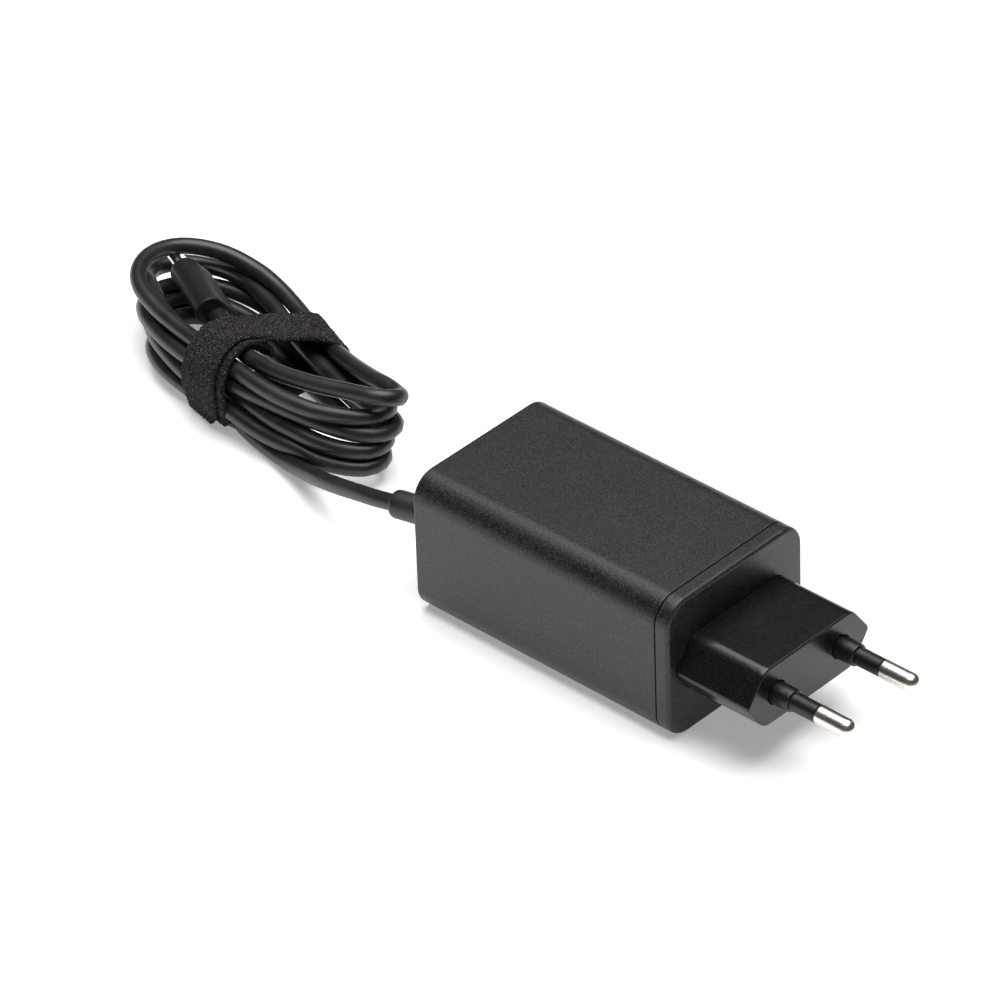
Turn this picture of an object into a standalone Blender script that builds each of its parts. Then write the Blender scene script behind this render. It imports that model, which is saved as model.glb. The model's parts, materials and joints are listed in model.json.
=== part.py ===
"""Wall charger with a two-pin plug, a captive output cord wound in a hank, a tie and a connector.

Frame: metres, +Z up. +X points the way the pins go into the socket, +Y across the housing, and the
charger lies on one of its broad faces at z = 0. The origin is under the middle of the charger's own
length, without its cord.
"""
import math

import bmesh
import bpy
from mathutils import Matrix, Vector

MM = 0.001
GAP = 0.3 * MM

# Housing
BODY_WIDTH = 38.6 * MM
BODY_HEIGHT = 31.3 * MM
BODY_LENGTH = 65.4 * MM
EDGE_RADIUS = 5.4 * MM
WALL = 2.0 * MM
CAP_LENGTH = 3.15 * MM
CAP_LIP = 3.9 * MM
REAR_ROUND = 0.8 * MM
FRONT_ROUND = 1.0 * MM
CORNER_STEPS = 6

# Plug: standard flat two-pin form
STUB_LENGTH = 18.2 * MM
STUB_HALF_WIDTH = 17.55 * MM
STUB_HALF_HEIGHT = 6.55 * MM
STUB_HALF_FLAT = 12.8 * MM
STUB_CORNER = 3.5 * MM
STUB_SIDE_CORNER = 1.2 * MM
SPIGOT_STEP = 2.2 * MM
PIN_LENGTH = 19.0 * MM
PIN_RADIUS = 2.0 * MM
PIN_SHANK_RADIUS = 1.25 * MM
PIN_OFFSET = 9.25 * MM
PIN_TAIL = 11.0 * MM
SLEEVE_LENGTH = 10.4 * MM
SLEEVE_RADIUS = 1.9 * MM
COLLAR_LENGTH = 4.4 * MM
COLLAR_RADIUS = 2.35 * MM
COLLAR_DEPTH = 6.0 * MM

TOTAL_LENGTH = BODY_LENGTH + STUB_LENGTH + PIN_LENGTH
REAR_X = -TOTAL_LENGTH / 2
FRONT_X = REAR_X + BODY_LENGTH
FACE_X = FRONT_X + STUB_LENGTH
MID_Z = BODY_HEIGHT / 2
SEAM_X = FRONT_X - CAP_LENGTH

# Board and the pieces on it
BOARD_LOW = 4.8 * MM
BOARD_THICK = 1.2 * MM
BOARD_TOP = BOARD_LOW + BOARD_THICK
PART_LOW = BOARD_TOP + GAP

# Cord
CORD_RADIUS = 1.75 * MM
RELIEF_RADIUS = 2.75 * MM
EXIT_Y = -8.6 * MM
CORD_ROUTE = [Vector(point) * MM for point in (
    (-51.3, -8.6, 15.65), (-56.9, -9.2, 15.3), (-61.9, -9.9, 14.9), (-67.3, -10.7, 14.4),
    (-72.8, -11.6, 13.9), (-78.7, -12.6, 13.2), (-84.5, -12.9, 12.3), (-90.5, -12.3, 11.1),
    (-96.9, -11.2, 9.8), (-104.1, -9.4, 8.4), (-111.4, -7.2, 7.1), (-118.2, -5.6, 5.9))]
RELIEF_SPANS = 3

# Hank: rows of (x, y, top) of its outer and inner outline, in millimetres
HANK_LOW = 1.4 * MM

# Connector on the cord's far end
CONNECTOR_REAR = Vector((-138.6, 13.8, 14.0)) * MM
CONNECTOR_FRONT = Vector((-155.5, 22.3, 13.0)) * MM
CONNECTOR_ROLL = math.radians(50)
CONNECTOR_WIDTH = 10.2 * MM
CONNECTOR_THICK = 6.2 * MM


def clear_scene():
    for old in list(bpy.data.objects):
        bpy.data.objects.remove(old, do_unlink=True)


def material(name, colour, roughness, metallic=0.0):
    made = bpy.data.materials.new(name)
    made.use_nodes = True
    shader = made.node_tree.nodes["Principled BSDF"]
    shader.inputs["Base Color"].default_value = (*colour, 1.0)
    shader.inputs["Roughness"].default_value = roughness
    shader.inputs["Metallic"].default_value = metallic
    return made


def add_object(name, bm, finish, location=(0, 0, 0)):
    """Closes a bmesh into a named object with its own finish."""
    bmesh.ops.recalc_face_normals(bm, faces=bm.faces)
    mesh = bpy.data.meshes.new(name)
    bm.to_mesh(mesh)
    bm.free()
    made = bpy.data.objects.new(name, mesh)
    made.location = location
    made.parent = ROOT
    bpy.context.scene.collection.objects.link(made)
    mesh.materials.append(finish)
    mesh.shade_smooth()
    mesh.set_sharp_from_angle(angle=math.radians(35))
    return made


def loft(name, rings, finish, location=(0, 0, 0)):
    """A closed solid through rings of points, with a face on its first and last ring."""
    bm = bmesh.new()
    rows = [[bm.verts.new(point) for point in ring] for ring in rings]
    count = len(rows[0])
    for low, high in zip(rows, rows[1:]):
        for i in range(count):
            j = (i + 1) % count
            bm.faces.new((low[i], low[j], high[j], high[i]))
    bm.faces.new(rows[0])
    bm.faces.new(rows[-1])
    return add_object(name, bm, finish, location)


def closed_loft(name, rings, finish, location=(0, 0, 0)):
    """A ring-shaped solid: the last ring joins the first."""
    bm = bmesh.new()
    rows = [[bm.verts.new(point) for point in ring] for ring in rings]
    count = len(rows[0])
    for low, high in zip(rows, rows[1:] + rows[:1]):
        for i in range(count):
            j = (i + 1) % count
            bm.faces.new((low[i], low[j], high[j], high[i]))
    return add_object(name, bm, finish, location)


def box(name, size, centre, finish, bevel=0.0):
    bm = bmesh.new()
    bmesh.ops.create_cube(bm, size=1.0)
    bmesh.ops.scale(bm, vec=size, verts=bm.verts)
    made = add_object(name, bm, finish, centre)
    if bevel:
        add_bevel(made, bevel)
    return made


def prism(name, outline, axis, start, end, finish, location=(0, 0, 0)):
    """A flat outline pushed along X, Y or Z. The outline's pairs are the other two axes in order."""
    bm = bmesh.new()
    places = {"X": lambda a, b: (start, a, b), "Y": lambda a, b: (a, start, b), "Z": lambda a, b: (a, b, start)}
    step = {"X": (end - start, 0, 0), "Y": (0, end - start, 0), "Z": (0, 0, end - start)}[axis]
    face = bm.faces.new([bm.verts.new(places[axis](a, b)) for a, b in outline])
    pushed = bmesh.ops.extrude_face_region(bm, geom=[face])
    moved = [item for item in pushed["geom"] if isinstance(item, bmesh.types.BMVert)]
    bmesh.ops.translate(bm, vec=step, verts=moved)
    return add_object(name, bm, finish, location)


def turned(name, profile, axis, steps, finish, location=(0, 0, 0)):
    """A profile of (distance along the axis, radius) spun once round the X or Z axis."""
    bm = bmesh.new()
    points = [bm.verts.new((radius, 0, along)) for along, radius in profile]
    ends = list(zip(points, points[1:]))
    if profile[0][1] > 0 or profile[-1][1] > 0:
        ends.append((points[-1], points[0]))
    edges = [bm.edges.new(pair) for pair in ends]
    bmesh.ops.spin(bm, geom=points + edges, cent=(0, 0, 0), axis=(0, 0, 1), angle=math.tau,
                   steps=steps, use_merge=True)
    bmesh.ops.remove_doubles(bm, verts=bm.verts, dist=0.001 * MM)
    if axis == "X":
        bmesh.ops.rotate(bm, verts=bm.verts, cent=(0, 0, 0), matrix=Matrix.Rotation(math.pi / 2, 3, "Y"))
    return add_object(name, bm, finish, location)


def add_bevel(made, width, segments=2):
    bevel = made.modifiers.new("rounded edges", "BEVEL")
    bevel.width = width
    bevel.segments = segments
    bevel.limit_method = "ANGLE"
    bevel.angle_limit = math.radians(40)


def cut(target, cutter):
    """Takes the cutter's shape out of the target, and keeps the cutter as a guide."""
    cutter.hide_render = True
    cutter.display_type = "WIRE"
    boolean = target.modifiers.new("cut by " + cutter.name, "BOOLEAN")
    boolean.operation = "DIFFERENCE"
    boolean.solver = "EXACT"
    boolean.object = cutter


def rounded_rectangle(width, height, radius, steps=CORNER_STEPS):
    """Corner arcs of a rectangle about the origin, anticlockwise."""
    points = []
    for quarter, (side, level) in enumerate(((1, 1), (-1, 1), (-1, -1), (1, -1))):
        for step in range(steps + 1):
            angle = (quarter + step / steps) * math.pi / 2
            points.append((side * (width / 2 - radius) + radius * math.cos(angle),
                           level * (height / 2 - radius) + radius * math.sin(angle)))
    return points


def body_ring(x, inset):
    """The housing's cross-section at x, drawn in all round by an inset."""
    radius = max(EDGE_RADIUS - inset, 0.6 * MM)
    outline = rounded_rectangle(BODY_WIDTH - 2 * inset, BODY_HEIGHT - 2 * inset, radius)
    return [(x, y, z + MID_Z) for y, z in outline]


def rounded_polygon(corners, steps):
    """A polygon whose corners, each (y, z, radius), are replaced by arcs."""
    points = []
    count = len(corners)
    for i, (y, z, radius) in enumerate(corners):
        here = Vector((y, z))
        before = (Vector(corners[i - 1][:2]) - here).normalized()
        after = (Vector(corners[(i + 1) % count][:2]) - here).normalized()
        half = before.angle(after) / 2
        centre = here + (before + after).normalized() * radius / math.sin(half)
        start = here + before * radius / math.tan(half) - centre
        end = here + after * radius / math.tan(half) - centre
        turn = start.angle_signed(end)
        for step in range(steps + 1):
            part = turn * step / steps
            points.append(centre + Matrix.Rotation(-part, 2) @ start)
    return [(point.x, point.y) for point in points]


def stub_ring(x, grow):
    """The plug's six-sided cross-section at x, grown all round."""
    wide = STUB_HALF_WIDTH + grow
    high = STUB_HALF_HEIGHT + grow
    flat = STUB_HALF_FLAT + grow * 0.4
    top = max(STUB_CORNER + grow, 0.8 * MM)
    side = STUB_SIDE_CORNER
    corners = [(wide, 0, side), (flat, high, top), (-flat, high, top),
               (-wide, 0, side), (-flat, -high, top), (flat, -high, top)]
    return [(x, y, z + MID_Z) for y, z in rounded_polygon(corners, 3)]


def smooth_route(points, spans):
    """Points on a smooth curve through the given points, so many to each span."""
    route = []
    last = len(points) - 1
    for i in range(last):
        a, b = points[i], points[i + 1]
        lead = (b - points[i - 1]) / 2 if i else b - a
        trail = (points[i + 2] - a) / 2 if i + 2 <= last else b - a
        for step in range(spans):
            t = step / spans
            route.append(a * (2 * t ** 3 - 3 * t ** 2 + 1) + lead * (t ** 3 - 2 * t ** 2 + t)
                         + b * (3 * t ** 2 - 2 * t ** 3) + trail * (t ** 3 - t ** 2))
    route.append(points[last].copy())
    return route


def spaced(route, step):
    """The same route with points about a step apart, both ends kept."""
    lengths = [0.0]
    for a, b in zip(route, route[1:]):
        lengths.append(lengths[-1] + (b - a).length)
    count = max(2, round(lengths[-1] / step))
    points = []
    for k in range(count + 1):
        want = lengths[-1] * k / count
        i = max(j for j in range(len(route)) if lengths[j] <= want + 1e-12)
        i = min(i, len(route) - 2)
        part = (want - lengths[i]) / (lengths[i + 1] - lengths[i])
        points.append(route[i].lerp(route[i + 1], part))
    return points


def tube(name, points, radius, finish, resolution=2):
    """A round cord along the points, as a curve with filled ends."""
    curve = bpy.data.curves.new(name, "CURVE")
    curve.dimensions = "3D"
    curve.bevel_depth = radius
    curve.bevel_resolution = resolution
    curve.use_fill_caps = True
    spline = curve.splines.new("POLY")
    spline.points.add(len(points) - 1)
    for spot, point in zip(spline.points, points):
        spot.co = (*point, 1.0)
    made = bpy.data.objects.new(name, curve)
    made.parent = ROOT
    curve.materials.append(finish)
    bpy.context.scene.collection.objects.link(made)
    return made


def frame_at(direction):
    """Two unit vectors square to a direction, the second one nearly upright."""
    across = direction.cross(Vector((0, 0, 1))).normalized()
    return across, across.cross(direction).normalized()


# ---- Housing and plug ----

def make_housing_shell(finish):
    front = SEAM_X - GAP
    floor = REAR_X + WALL
    rings = [body_ring(REAR_X, REAR_ROUND), body_ring(REAR_X + 0.3 * REAR_ROUND, 0.3 * REAR_ROUND),
             body_ring(REAR_X + REAR_ROUND, 0.0), body_ring(front, 0.0),
             body_ring(front, WALL), body_ring(floor, WALL)]
    shell = loft("housing_shell", rings, finish)
    hole = turned("relief_hole", [(-2 * WALL, 0), (-2 * WALL, RELIEF_RADIUS + GAP),
                                  (2 * WALL, RELIEF_RADIUS + GAP), (2 * WALL, 0)],
                  "X", 20, finish, (REAR_X + WALL / 2, EXIT_Y, MID_Z))
    cut(shell, hole)


def make_front_cap(finish):
    pocket = WALL + GAP + 1.2 * MM
    lip = WALL + GAP
    rings = [body_ring(FRONT_X - WALL, pocket), body_ring(SEAM_X - CAP_LIP, pocket),
             body_ring(SEAM_X - CAP_LIP, lip), body_ring(SEAM_X, lip), body_ring(SEAM_X, 0.0),
             body_ring(FRONT_X - FRONT_ROUND, 0.0), body_ring(FRONT_X - 0.3 * FRONT_ROUND, 0.3 * FRONT_ROUND),
             body_ring(FRONT_X, FRONT_ROUND)]
    cap = loft("front_cap", rings, finish)
    hole = loft("stub_hole", [stub_ring(FRONT_X - 4 * WALL, GAP - SPIGOT_STEP),
                              stub_ring(FRONT_X + WALL, GAP - SPIGOT_STEP)], finish)
    cut(cap, hole)


def make_plug_block(finish):
    base = FRONT_X + GAP
    edge = 0.4 * MM
    rings = [stub_ring(FRONT_X - 6.0 * MM, -SPIGOT_STEP), stub_ring(base, -SPIGOT_STEP), stub_ring(base, 0.0),
             stub_ring(FACE_X - edge, 0.0), stub_ring(FACE_X, -edge)]
    block = loft("plug_block", rings, finish)
    for name, side in (("near", -1), ("far", 1)):
        wide = COLLAR_RADIUS + GAP
        narrow = PIN_SHANK_RADIUS + GAP
        deep = -COLLAR_DEPTH - GAP
        bore = turned("pin_bore_" + name, [(-40 * MM, 0), (-40 * MM, narrow), (deep, narrow), (deep, wide),
                                           (5 * MM, wide), (5 * MM, 0)],
                      "X", 20, finish, (FACE_X, side * PIN_OFFSET, MID_Z))
        cut(block, bore)


def make_pin(name, side, finish):
    start = SLEEVE_LENGTH + 0.2 * MM
    tail = -STUB_LENGTH - PIN_TAIL
    dome = [(PIN_LENGTH - PIN_RADIUS + PIN_RADIUS * math.sin(a), PIN_RADIUS * math.cos(a))
            for a in (math.radians(18 * k) for k in range(1, 5))]
    profile = [(tail, 0), (tail, PIN_SHANK_RADIUS), (start, PIN_SHANK_RADIUS), (start, PIN_RADIUS),
               (PIN_LENGTH - PIN_RADIUS, PIN_RADIUS)] + dome + [(PIN_LENGTH, 0)]
    turned(name, profile, "X", 24, finish, (FACE_X, side * PIN_OFFSET, MID_Z))


def make_sleeve(name, side, finish):
    bore = PIN_SHANK_RADIUS + 0.2 * MM
    lead = 0.3 * MM
    profile = [(-COLLAR_DEPTH, bore), (-COLLAR_DEPTH, COLLAR_RADIUS), (COLLAR_LENGTH - lead, COLLAR_RADIUS),
               (COLLAR_LENGTH, SLEEVE_RADIUS + 0.15 * MM), (COLLAR_LENGTH, SLEEVE_RADIUS),
               (SLEEVE_LENGTH, SLEEVE_RADIUS), (SLEEVE_LENGTH, bore)]
    turned(name, profile, "X", 24, finish, (FACE_X, side * PIN_OFFSET, MID_Z))


def make_contact_strip(name, side, finish):
    """An L-shaped strip from a pin's tail down to the board."""
    x = FRONT_X - 9.0 * MM
    thick = 0.5 * MM
    top = MID_Z + 3.0 * MM
    outline = [(x, PART_LOW), (x, top), (x - thick, top), (x - thick, PART_LOW + thick),
               (x - 3.0 * MM, PART_LOW + thick), (x - 3.0 * MM, PART_LOW)]
    y = side * PIN_OFFSET
    strip = prism(name, outline, "Y", y - 2.6 * MM, y + 2.6 * MM, finish)
    radius = PIN_SHANK_RADIUS + 0.2 * MM
    hole = turned(name + "_hole", [(-2 * MM, 0), (-2 * MM, radius), (2 * MM, radius), (2 * MM, 0)],
                  "X", 16, finish, (x, y, MID_Z))
    cut(strip, hole)


# ---- Inside ----

def make_board(finish):
    box("main_board", (53 * MM, 30 * MM, BOARD_THICK), (-20.5 * MM, 0, BOARD_LOW + BOARD_THICK / 2), finish)


def make_insulation_tray(finish):
    """A folded sheet between the board and the housing."""
    low = WALL + GAP
    sheet = 0.4 * MM
    side = BODY_WIDTH / 2 - WALL - 0.6 * MM
    high = 14.0 * MM
    corner = 3.3 * MM
    outline = [(-side, high), (-side, low + corner), (-side + corner, low), (side - corner, low),
               (side, low + corner), (side, high), (side - sheet, high), (side - sheet, low + corner + 0.2 * MM),
               (side - corner - 0.2 * MM, low + sheet), (-side + corner + 0.2 * MM, low + sheet),
               (-side + sheet, low + corner + 0.2 * MM), (-side + sheet, high)]
    prism("insulation_tray", outline, "X", -48.5 * MM, 6.4 * MM, finish)


def make_heat_spreader(finish):
    """A bent metal sheet over the components, down one side of the board."""
    top = BODY_HEIGHT - WALL - 0.6 * MM
    sheet = 0.6 * MM
    side = BODY_WIDTH / 2 - WALL - 1.4 * MM
    low = 15.0 * MM
    bend = 2.6 * MM
    outline = [(-side + 2 * MM, top), (side - bend, top), (side, top - bend), (side, low), (side - sheet, low),
               (side - sheet, top - bend - 0.3 * MM), (side - bend - 0.3 * MM, top - sheet), (-side + 2 * MM, top - sheet)]
    prism("heat_spreader", outline, "X", -44 * MM, 3 * MM, finish)


def e_core(name, low, pointing, finish):
    """Half a transformer core: a back with two outer legs and a middle one."""
    back, leg, high = 2.6 * MM, 2.4 * MM, 7.2 * MM
    half, middle = 10.0 * MM, 3.0 * MM
    outline = [(-half, 0), (half, 0), (half, high), (half - leg, high), (half - leg, back), (middle, back),
               (middle, high), (-middle, high), (-middle, back), (-half + leg, back), (-half + leg, high),
               (-half, high)]
    placed = [(x, low + pointing * z) for x, z in outline]
    prism(name, placed, "Y", -5.5 * MM, 5.5 * MM, finish, (-18 * MM, 5.2 * MM, 0))


def make_transformer(ferrite, former, tape):
    low = PART_LOW + 1.0 * MM
    high = low + 2 * 7.2 * MM + GAP
    e_core("transformer_core_lower", low, 1, ferrite)
    e_core("transformer_core_upper", high, -1, ferrite)
    place = (-18 * MM, 5.2 * MM, 0)
    bottom = low + 2.9 * MM
    top = high - 2.9 * MM
    inner = (6.6 * MM, 11.6 * MM)
    neck = (8.2 * MM, 13.2 * MM)
    flange = (14.4 * MM, 15.4 * MM)
    sheet = 0.8 * MM

    def ring(size, z):
        return [(x, y, z) for x, y in rounded_rectangle(size[0], size[1], 0.8 * MM, 2)]

    closed_loft("transformer_bobbin", [ring(inner, bottom), ring(flange, bottom), ring(flange, bottom + sheet),
                                       ring(neck, bottom + sheet), ring(neck, top - sheet), ring(flange, top - sheet),
                                       ring(flange, top), ring(inner, top)], former, place)
    coil_low, coil_high = bottom + sheet + GAP, top - sheet - GAP
    inside = (neck[0] + 0.5 * MM, neck[1] + 0.5 * MM)
    outside = (flange[0] - 0.6 * MM, flange[1] - 0.3 * MM)
    closed_loft("transformer_winding", [ring(inside, coil_low), ring(outside, coil_low),
                                        ring(outside, coil_high), ring(inside, coil_high)], tape, place)


def make_capacitor(name, radius, height, location, finish):
    """A can capacitor with its rolled groove near the foot."""
    groove = 0.35 * MM
    profile = [(0, 0), (0, radius - 0.4 * MM), (0.4 * MM, radius), (1.6 * MM, radius), (2.0 * MM, radius - groove),
               (2.6 * MM, radius - groove), (3.0 * MM, radius), (height - 0.5 * MM, radius),
               (height, radius - 0.5 * MM), (height, radius - 1.2 * MM), (height - 0.25 * MM, radius - 1.4 * MM),
               (height - 0.25 * MM, 0)]
    turned(name, profile, "Z", 20, finish, location)


def make_choke(ferrite, copper):
    place = Vector((-2.4 * MM, -1.4 * MM, PART_LOW + 7.0 * MM))
    radius, core = 4.6 * MM, 1.5 * MM

    def section(angle, size, count=10):
        out = Vector((0, math.cos(angle), math.sin(angle)))
        return [tuple(out * (radius + size * math.cos(k * math.tau / count))
                      + Vector((size * math.sin(k * math.tau / count), 0, 0))) for k in range(count)]

    rings = [section(k * math.tau / 24, core) for k in range(24)]
    closed_loft("choke_core", rings, ferrite, place)
    for name, middle in (("choke_winding_near", math.pi), ("choke_winding_far", 0.0)):
        turns = [middle + math.radians(10 * k) for k in range(-6, 7)]
        outer = [section(a, core + 0.9 * MM) for a in turns]
        inner = [section(a, core + 0.3 * MM) for a in reversed(turns)]
        closed_loft(name, outer + inner, copper, place)


def make_small_parts(paint):
    low = PART_LOW
    box("line_fuse", (6.6 * MM, 3.6 * MM, 4.0 * MM), (-1.7 * MM, -12.1 * MM, low + 2.0 * MM), paint["fuse"], 0.6 * MM)
    turned("surge_varistor", [(-1.7 * MM, 0), (-1.7 * MM, 3.6 * MM), (-1.2 * MM, 4.2 * MM), (1.2 * MM, 4.2 * MM),
                              (1.7 * MM, 3.6 * MM), (1.7 * MM, 0)],
           "X", 20, paint["varistor"], (2.0 * MM, 8.4 * MM, low + 15.6 * MM))
    box("x_capacitor", (5.0 * MM, 8.6 * MM, 9.6 * MM), (-2.4 * MM, 10.2 * MM, low + 4.9 * MM), paint["film"], 0.5 * MM)
    turned("y_capacitor", [(-1.4 * MM, 0), (-1.4 * MM, 2.7 * MM), (-1.0 * MM, 3.2 * MM), (1.0 * MM, 3.2 * MM),
                           (1.4 * MM, 2.7 * MM), (1.4 * MM, 0)],
           "X", 18, paint["ceramic"], (-31.5 * MM, 9.0 * MM, low + 4.0 * MM))
    box("bridge_rectifier", (3.2 * MM, 7.0 * MM, 7.2 * MM), (-7.2 * MM, -11.0 * MM, low + 3.6 * MM),
        paint["chip"], 0.3 * MM)
    box("switch_transistor", (6.4 * MM, 5.6 * MM, 2.2 * MM), (-35.6 * MM, 0.9 * MM, low + 1.1 * MM), paint["chip"], 0.25 * MM)
    box("rectifier_transistor", (5.2 * MM, 5.8 * MM, 1.1 * MM), (-43.4 * MM, 0.2 * MM, low + 0.6 * MM), paint["chip"], 0.2 * MM)
    box("primary_controller", (4.9 * MM, 3.9 * MM, 1.5 * MM), (-31.6 * MM, -4.5 * MM, low + 0.8 * MM),
        paint["chip"], 0.2 * MM)
    box("output_controller", (4.0 * MM, 4.0 * MM, 0.9 * MM), (-44.0 * MM, 5.5 * MM, low + 0.5 * MM), paint["chip"], 0.15 * MM)
    box("optocoupler", (4.6 * MM, 6.4 * MM, 3.4 * MM), (-34.2 * MM, -11.0 * MM, low + 1.8 * MM),
        paint["opto"], 0.3 * MM)
    box("thermal_pad", (18.0 * MM, 10.0 * MM, 5.4 * MM), (-18 * MM, 5.2 * MM, low + 18.7 * MM), paint["pad"], 0.4 * MM)


# ---- Cord, hank, tie and connector ----

def make_strain_relief(route, finish):
    """Flange inside the wall, neck through it, and a sleeve that follows the cord's first stretch."""
    rings = []
    flat = Vector((-1, 0, 0))

    def circle(centre, direction, radius):
        across, up = frame_at(direction)
        return [tuple(centre + (across * math.cos(a) + up * math.sin(a)) * radius)
                for a in (k * math.tau / 20 for k in range(20))]

    inside = REAR_X + WALL + GAP
    wide = 4.3 * MM
    for x, radius in ((inside + 3.2 * MM, RELIEF_RADIUS - 0.4 * MM), (inside + 1.6 * MM, RELIEF_RADIUS),
                      (inside + 1.6 * MM, wide), (inside, wide), (inside, RELIEF_RADIUS)):
        rings.append(circle(Vector((x, EXIT_Y, MID_Z)), flat, radius))
    shape = ((0, 1.0), (0.5, 1.0), (0.9, 1.0), (0.955, 0.94), (0.985, 0.84), (1.0, 0.72))
    last = len(route) - 1
    for part, scale in shape:
        place = part * last
        i = min(int(place), last - 1)
        centre = route[i].lerp(route[i + 1], place - i)
        direction = (route[i + 1] - route[i]).normalized() if part else flat
        rings.append(circle(centre, direction, RELIEF_RADIUS * scale))
    loft("strain_relief", rings, finish)


def make_lead_wires(red, black):
    """The cord's two conductors, from inside the strain relief down to the board."""
    start = REAR_X + WALL + GAP + 3.2 * MM + GAP
    for name, side, finish in (("lead_wire_positive", 1, red), ("lead_wire_negative", -1, black)):
        y = EXIT_Y + side * 1.0 * MM
        points = [Vector((start, y, MID_Z)), Vector((start + 1.6 * MM, y, MID_Z)),
                  Vector((start + 3.0 * MM, y, MID_Z - 0.8 * MM)), Vector((start + 3.6 * MM, y, MID_Z - 2.4 * MM)),
                  Vector((start + 3.6 * MM, y, BOARD_TOP + GAP + 0.1 * MM))]
        tube(name, points, 0.6 * MM, finish, 1)


def hank_outlines():
    """The hank's outer and inner outline, as (x, y, top) in the same order of stations."""
    outer = [(-84.4, 9.2, 20.4), (-85.6, 3.6, 20.4), (-89.6, 0.2, 20.4), (-97.0, -2.5, 20.4), (-106.0, -3.4, 20.3),
             (-119.0, -3.3, 20.0), (-119.1, -6.5, 19.0), (-120.6, -4.4, 18.2), (-127.0, -2.1, 17.2),
             (-135.4, 0.1, 16.2), (-145.0, 2.0, 16.9), (-152.6, 6.0, 16.8), (-160.0, 10.6, 16.4),
             (-165.6, 17.0, 15.0), (-167.8, 24.0, 12.4), (-165.6, 30.8, 11.0), (-160.6, 34.8, 11.4),
             (-152.0, 37.0, 11.6), (-142.0, 36.9, 9.6), (-133.0, 34.2, 6.6), (-122.0, 31.2, 5.4),
             (-114.0, 29.4, 9.0), (-103.0, 24.2, 12.4), (-93.0, 20.0, 16.4), (-87.2, 16.2, 19.4)]
    inner = [(-95.0, 10.6, 17.0), (-96.0, 9.6, 19.4), (-98.6, 8.6, 20.2), (-103.0, 7.2, 20.3), (-109.0, 6.3, 20.2),
             (-118.9, 6.2, 19.9), (-119.4, 6.2, 18.9), (-121.4, 6.2, 18.2), (-128.0, 6.6, 17.2),
             (-135.6, 7.8, 16.6), (-142.0, 9.2, 15.6), (-148.0, 11.2, 13.0), (-152.0, 13.2, 9.4),
             (-154.4, 16.0, 6.4), (-155.0, 19.0, 5.0), (-153.6, 22.0, 4.6), (-151.0, 23.6, 4.6),
             (-146.0, 24.2, 5.2), (-139.0, 23.6, 7.4), (-132.0, 20.6, 9.2), (-123.0, 18.2, 9.2),
             (-116.0, 16.4, 10.4), (-108.0, 14.4, 11.4), (-100.0, 12.6, 12.6), (-96.0, 11.6, 14.6)]
    return outer, inner


def make_hank(finish):
    """The wound cord's outer shape: a ring with sloped edges, high on its near side and low on its far one."""
    foot, shoulder, reach = 1.6 * MM, 2.8 * MM, 2.2 * MM
    rings = []
    for (ox, oy, otop), (ix, iy, itop) in zip(*hank_outlines()):
        out, inward = Vector((ox, oy, 0)) * MM, Vector((ix, iy, 0)) * MM
        step = (inward - out).normalized() * reach
        inner_side = max(itop * MM - shoulder, HANK_LOW + foot + 0.3 * MM)
        section = [(out + step, HANK_LOW), (out, HANK_LOW + foot), (out, otop * MM - shoulder),
                   (out + step, otop * MM), (inward - step, itop * MM), (inward, inner_side),
                   (inward, HANK_LOW + foot), (inward - step, HANK_LOW)]
        rings.append([(flat.x, flat.y, height) for flat, height in section])
    closed_loft("cord_hank", rings, finish)


def strap_sections():
    """The tie's outer line round the hank at its two edges, as (y, z) from the foot of the near side."""
    left = [(0.6, 0.05), (-1.2, 2.0), (-2.4, 6.0), (-2.3, 11.5), (-0.4, 16.0), (3.4, 18.6), (7.0, 19.0), (11.5, 18.0),
            (20.0, 15.0), (29.6, 11.0), (35.4, 9.4), (37.6, 6.6), (37.4, 2.6), (35.6, 0.05)]
    right = [(-4.6, 0.05), (-6.8, 2.0), (-7.8, 6.0), (-7.6, 12.0), (-6.0, 17.6), (-2.0, 21.2), (3.4, 21.8), (8.4, 20.8),
             (17.2, 15.6), (25.6, 10.6), (31.0, 8.6), (33.6, 6.0), (33.6, 2.6), (31.6, 0.05)]
    return left, right


def inset_line(points, distance):
    """A closed line of (y, z) points moved inwards by a distance."""
    moved = []
    count = len(points)
    for i, point in enumerate(points):
        here = Vector(point)
        before = (here - Vector(points[i - 1])).normalized()
        after = (Vector(points[(i + 1) % count]) - here).normalized()
        normal = Vector((before.y + after.y, -before.x - after.x)).normalized()
        share = max(0.5, normal.dot(Vector((after.y, -after.x))))
        moved.append(here + normal * distance / share)
    return [(point.x, point.y) for point in moved]


def make_strap(finish):
    """The hook-and-loop tie: one band round the hank."""
    left, right = strap_sections()
    thick = 1.0
    left_x, right_x = -134.4, -121.2
    edges = [(left, left_x), (right, right_x), (inset_line(right, thick), right_x), (inset_line(left, thick), left_x)]
    rings = []
    for i in range(len(left)):
        rings.append([(x * MM, line[i][0] * MM, line[i][1] * MM) for line, x in edges])
    closed_loft("cord_strap", rings, finish)


def connector_axes():
    """Unit vectors along the connector, across its width and through its thickness."""
    along = (CONNECTOR_FRONT - CONNECTOR_REAR).normalized()
    level = Vector((0, 0, 1)).cross(along).normalized() * -1
    up = level.cross(along).normalized()
    if up.z < 0:
        up.negate()
    width = (level * math.cos(CONNECTOR_ROLL) - up * math.sin(CONNECTOR_ROLL)).normalized()
    return along, width, along.cross(width).normalized()


def connector_ring(distance, width, thick, steps=5):
    """A cross-section with round narrow sides, at a distance in front of the connector's rear."""
    along, across, through = connector_axes()
    centre = CONNECTOR_REAR + along * distance
    outline = rounded_rectangle(width, thick, thick / 2 - 0.02 * MM, steps)
    return [tuple(centre + across * a + through * b) for a, b in outline]


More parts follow.
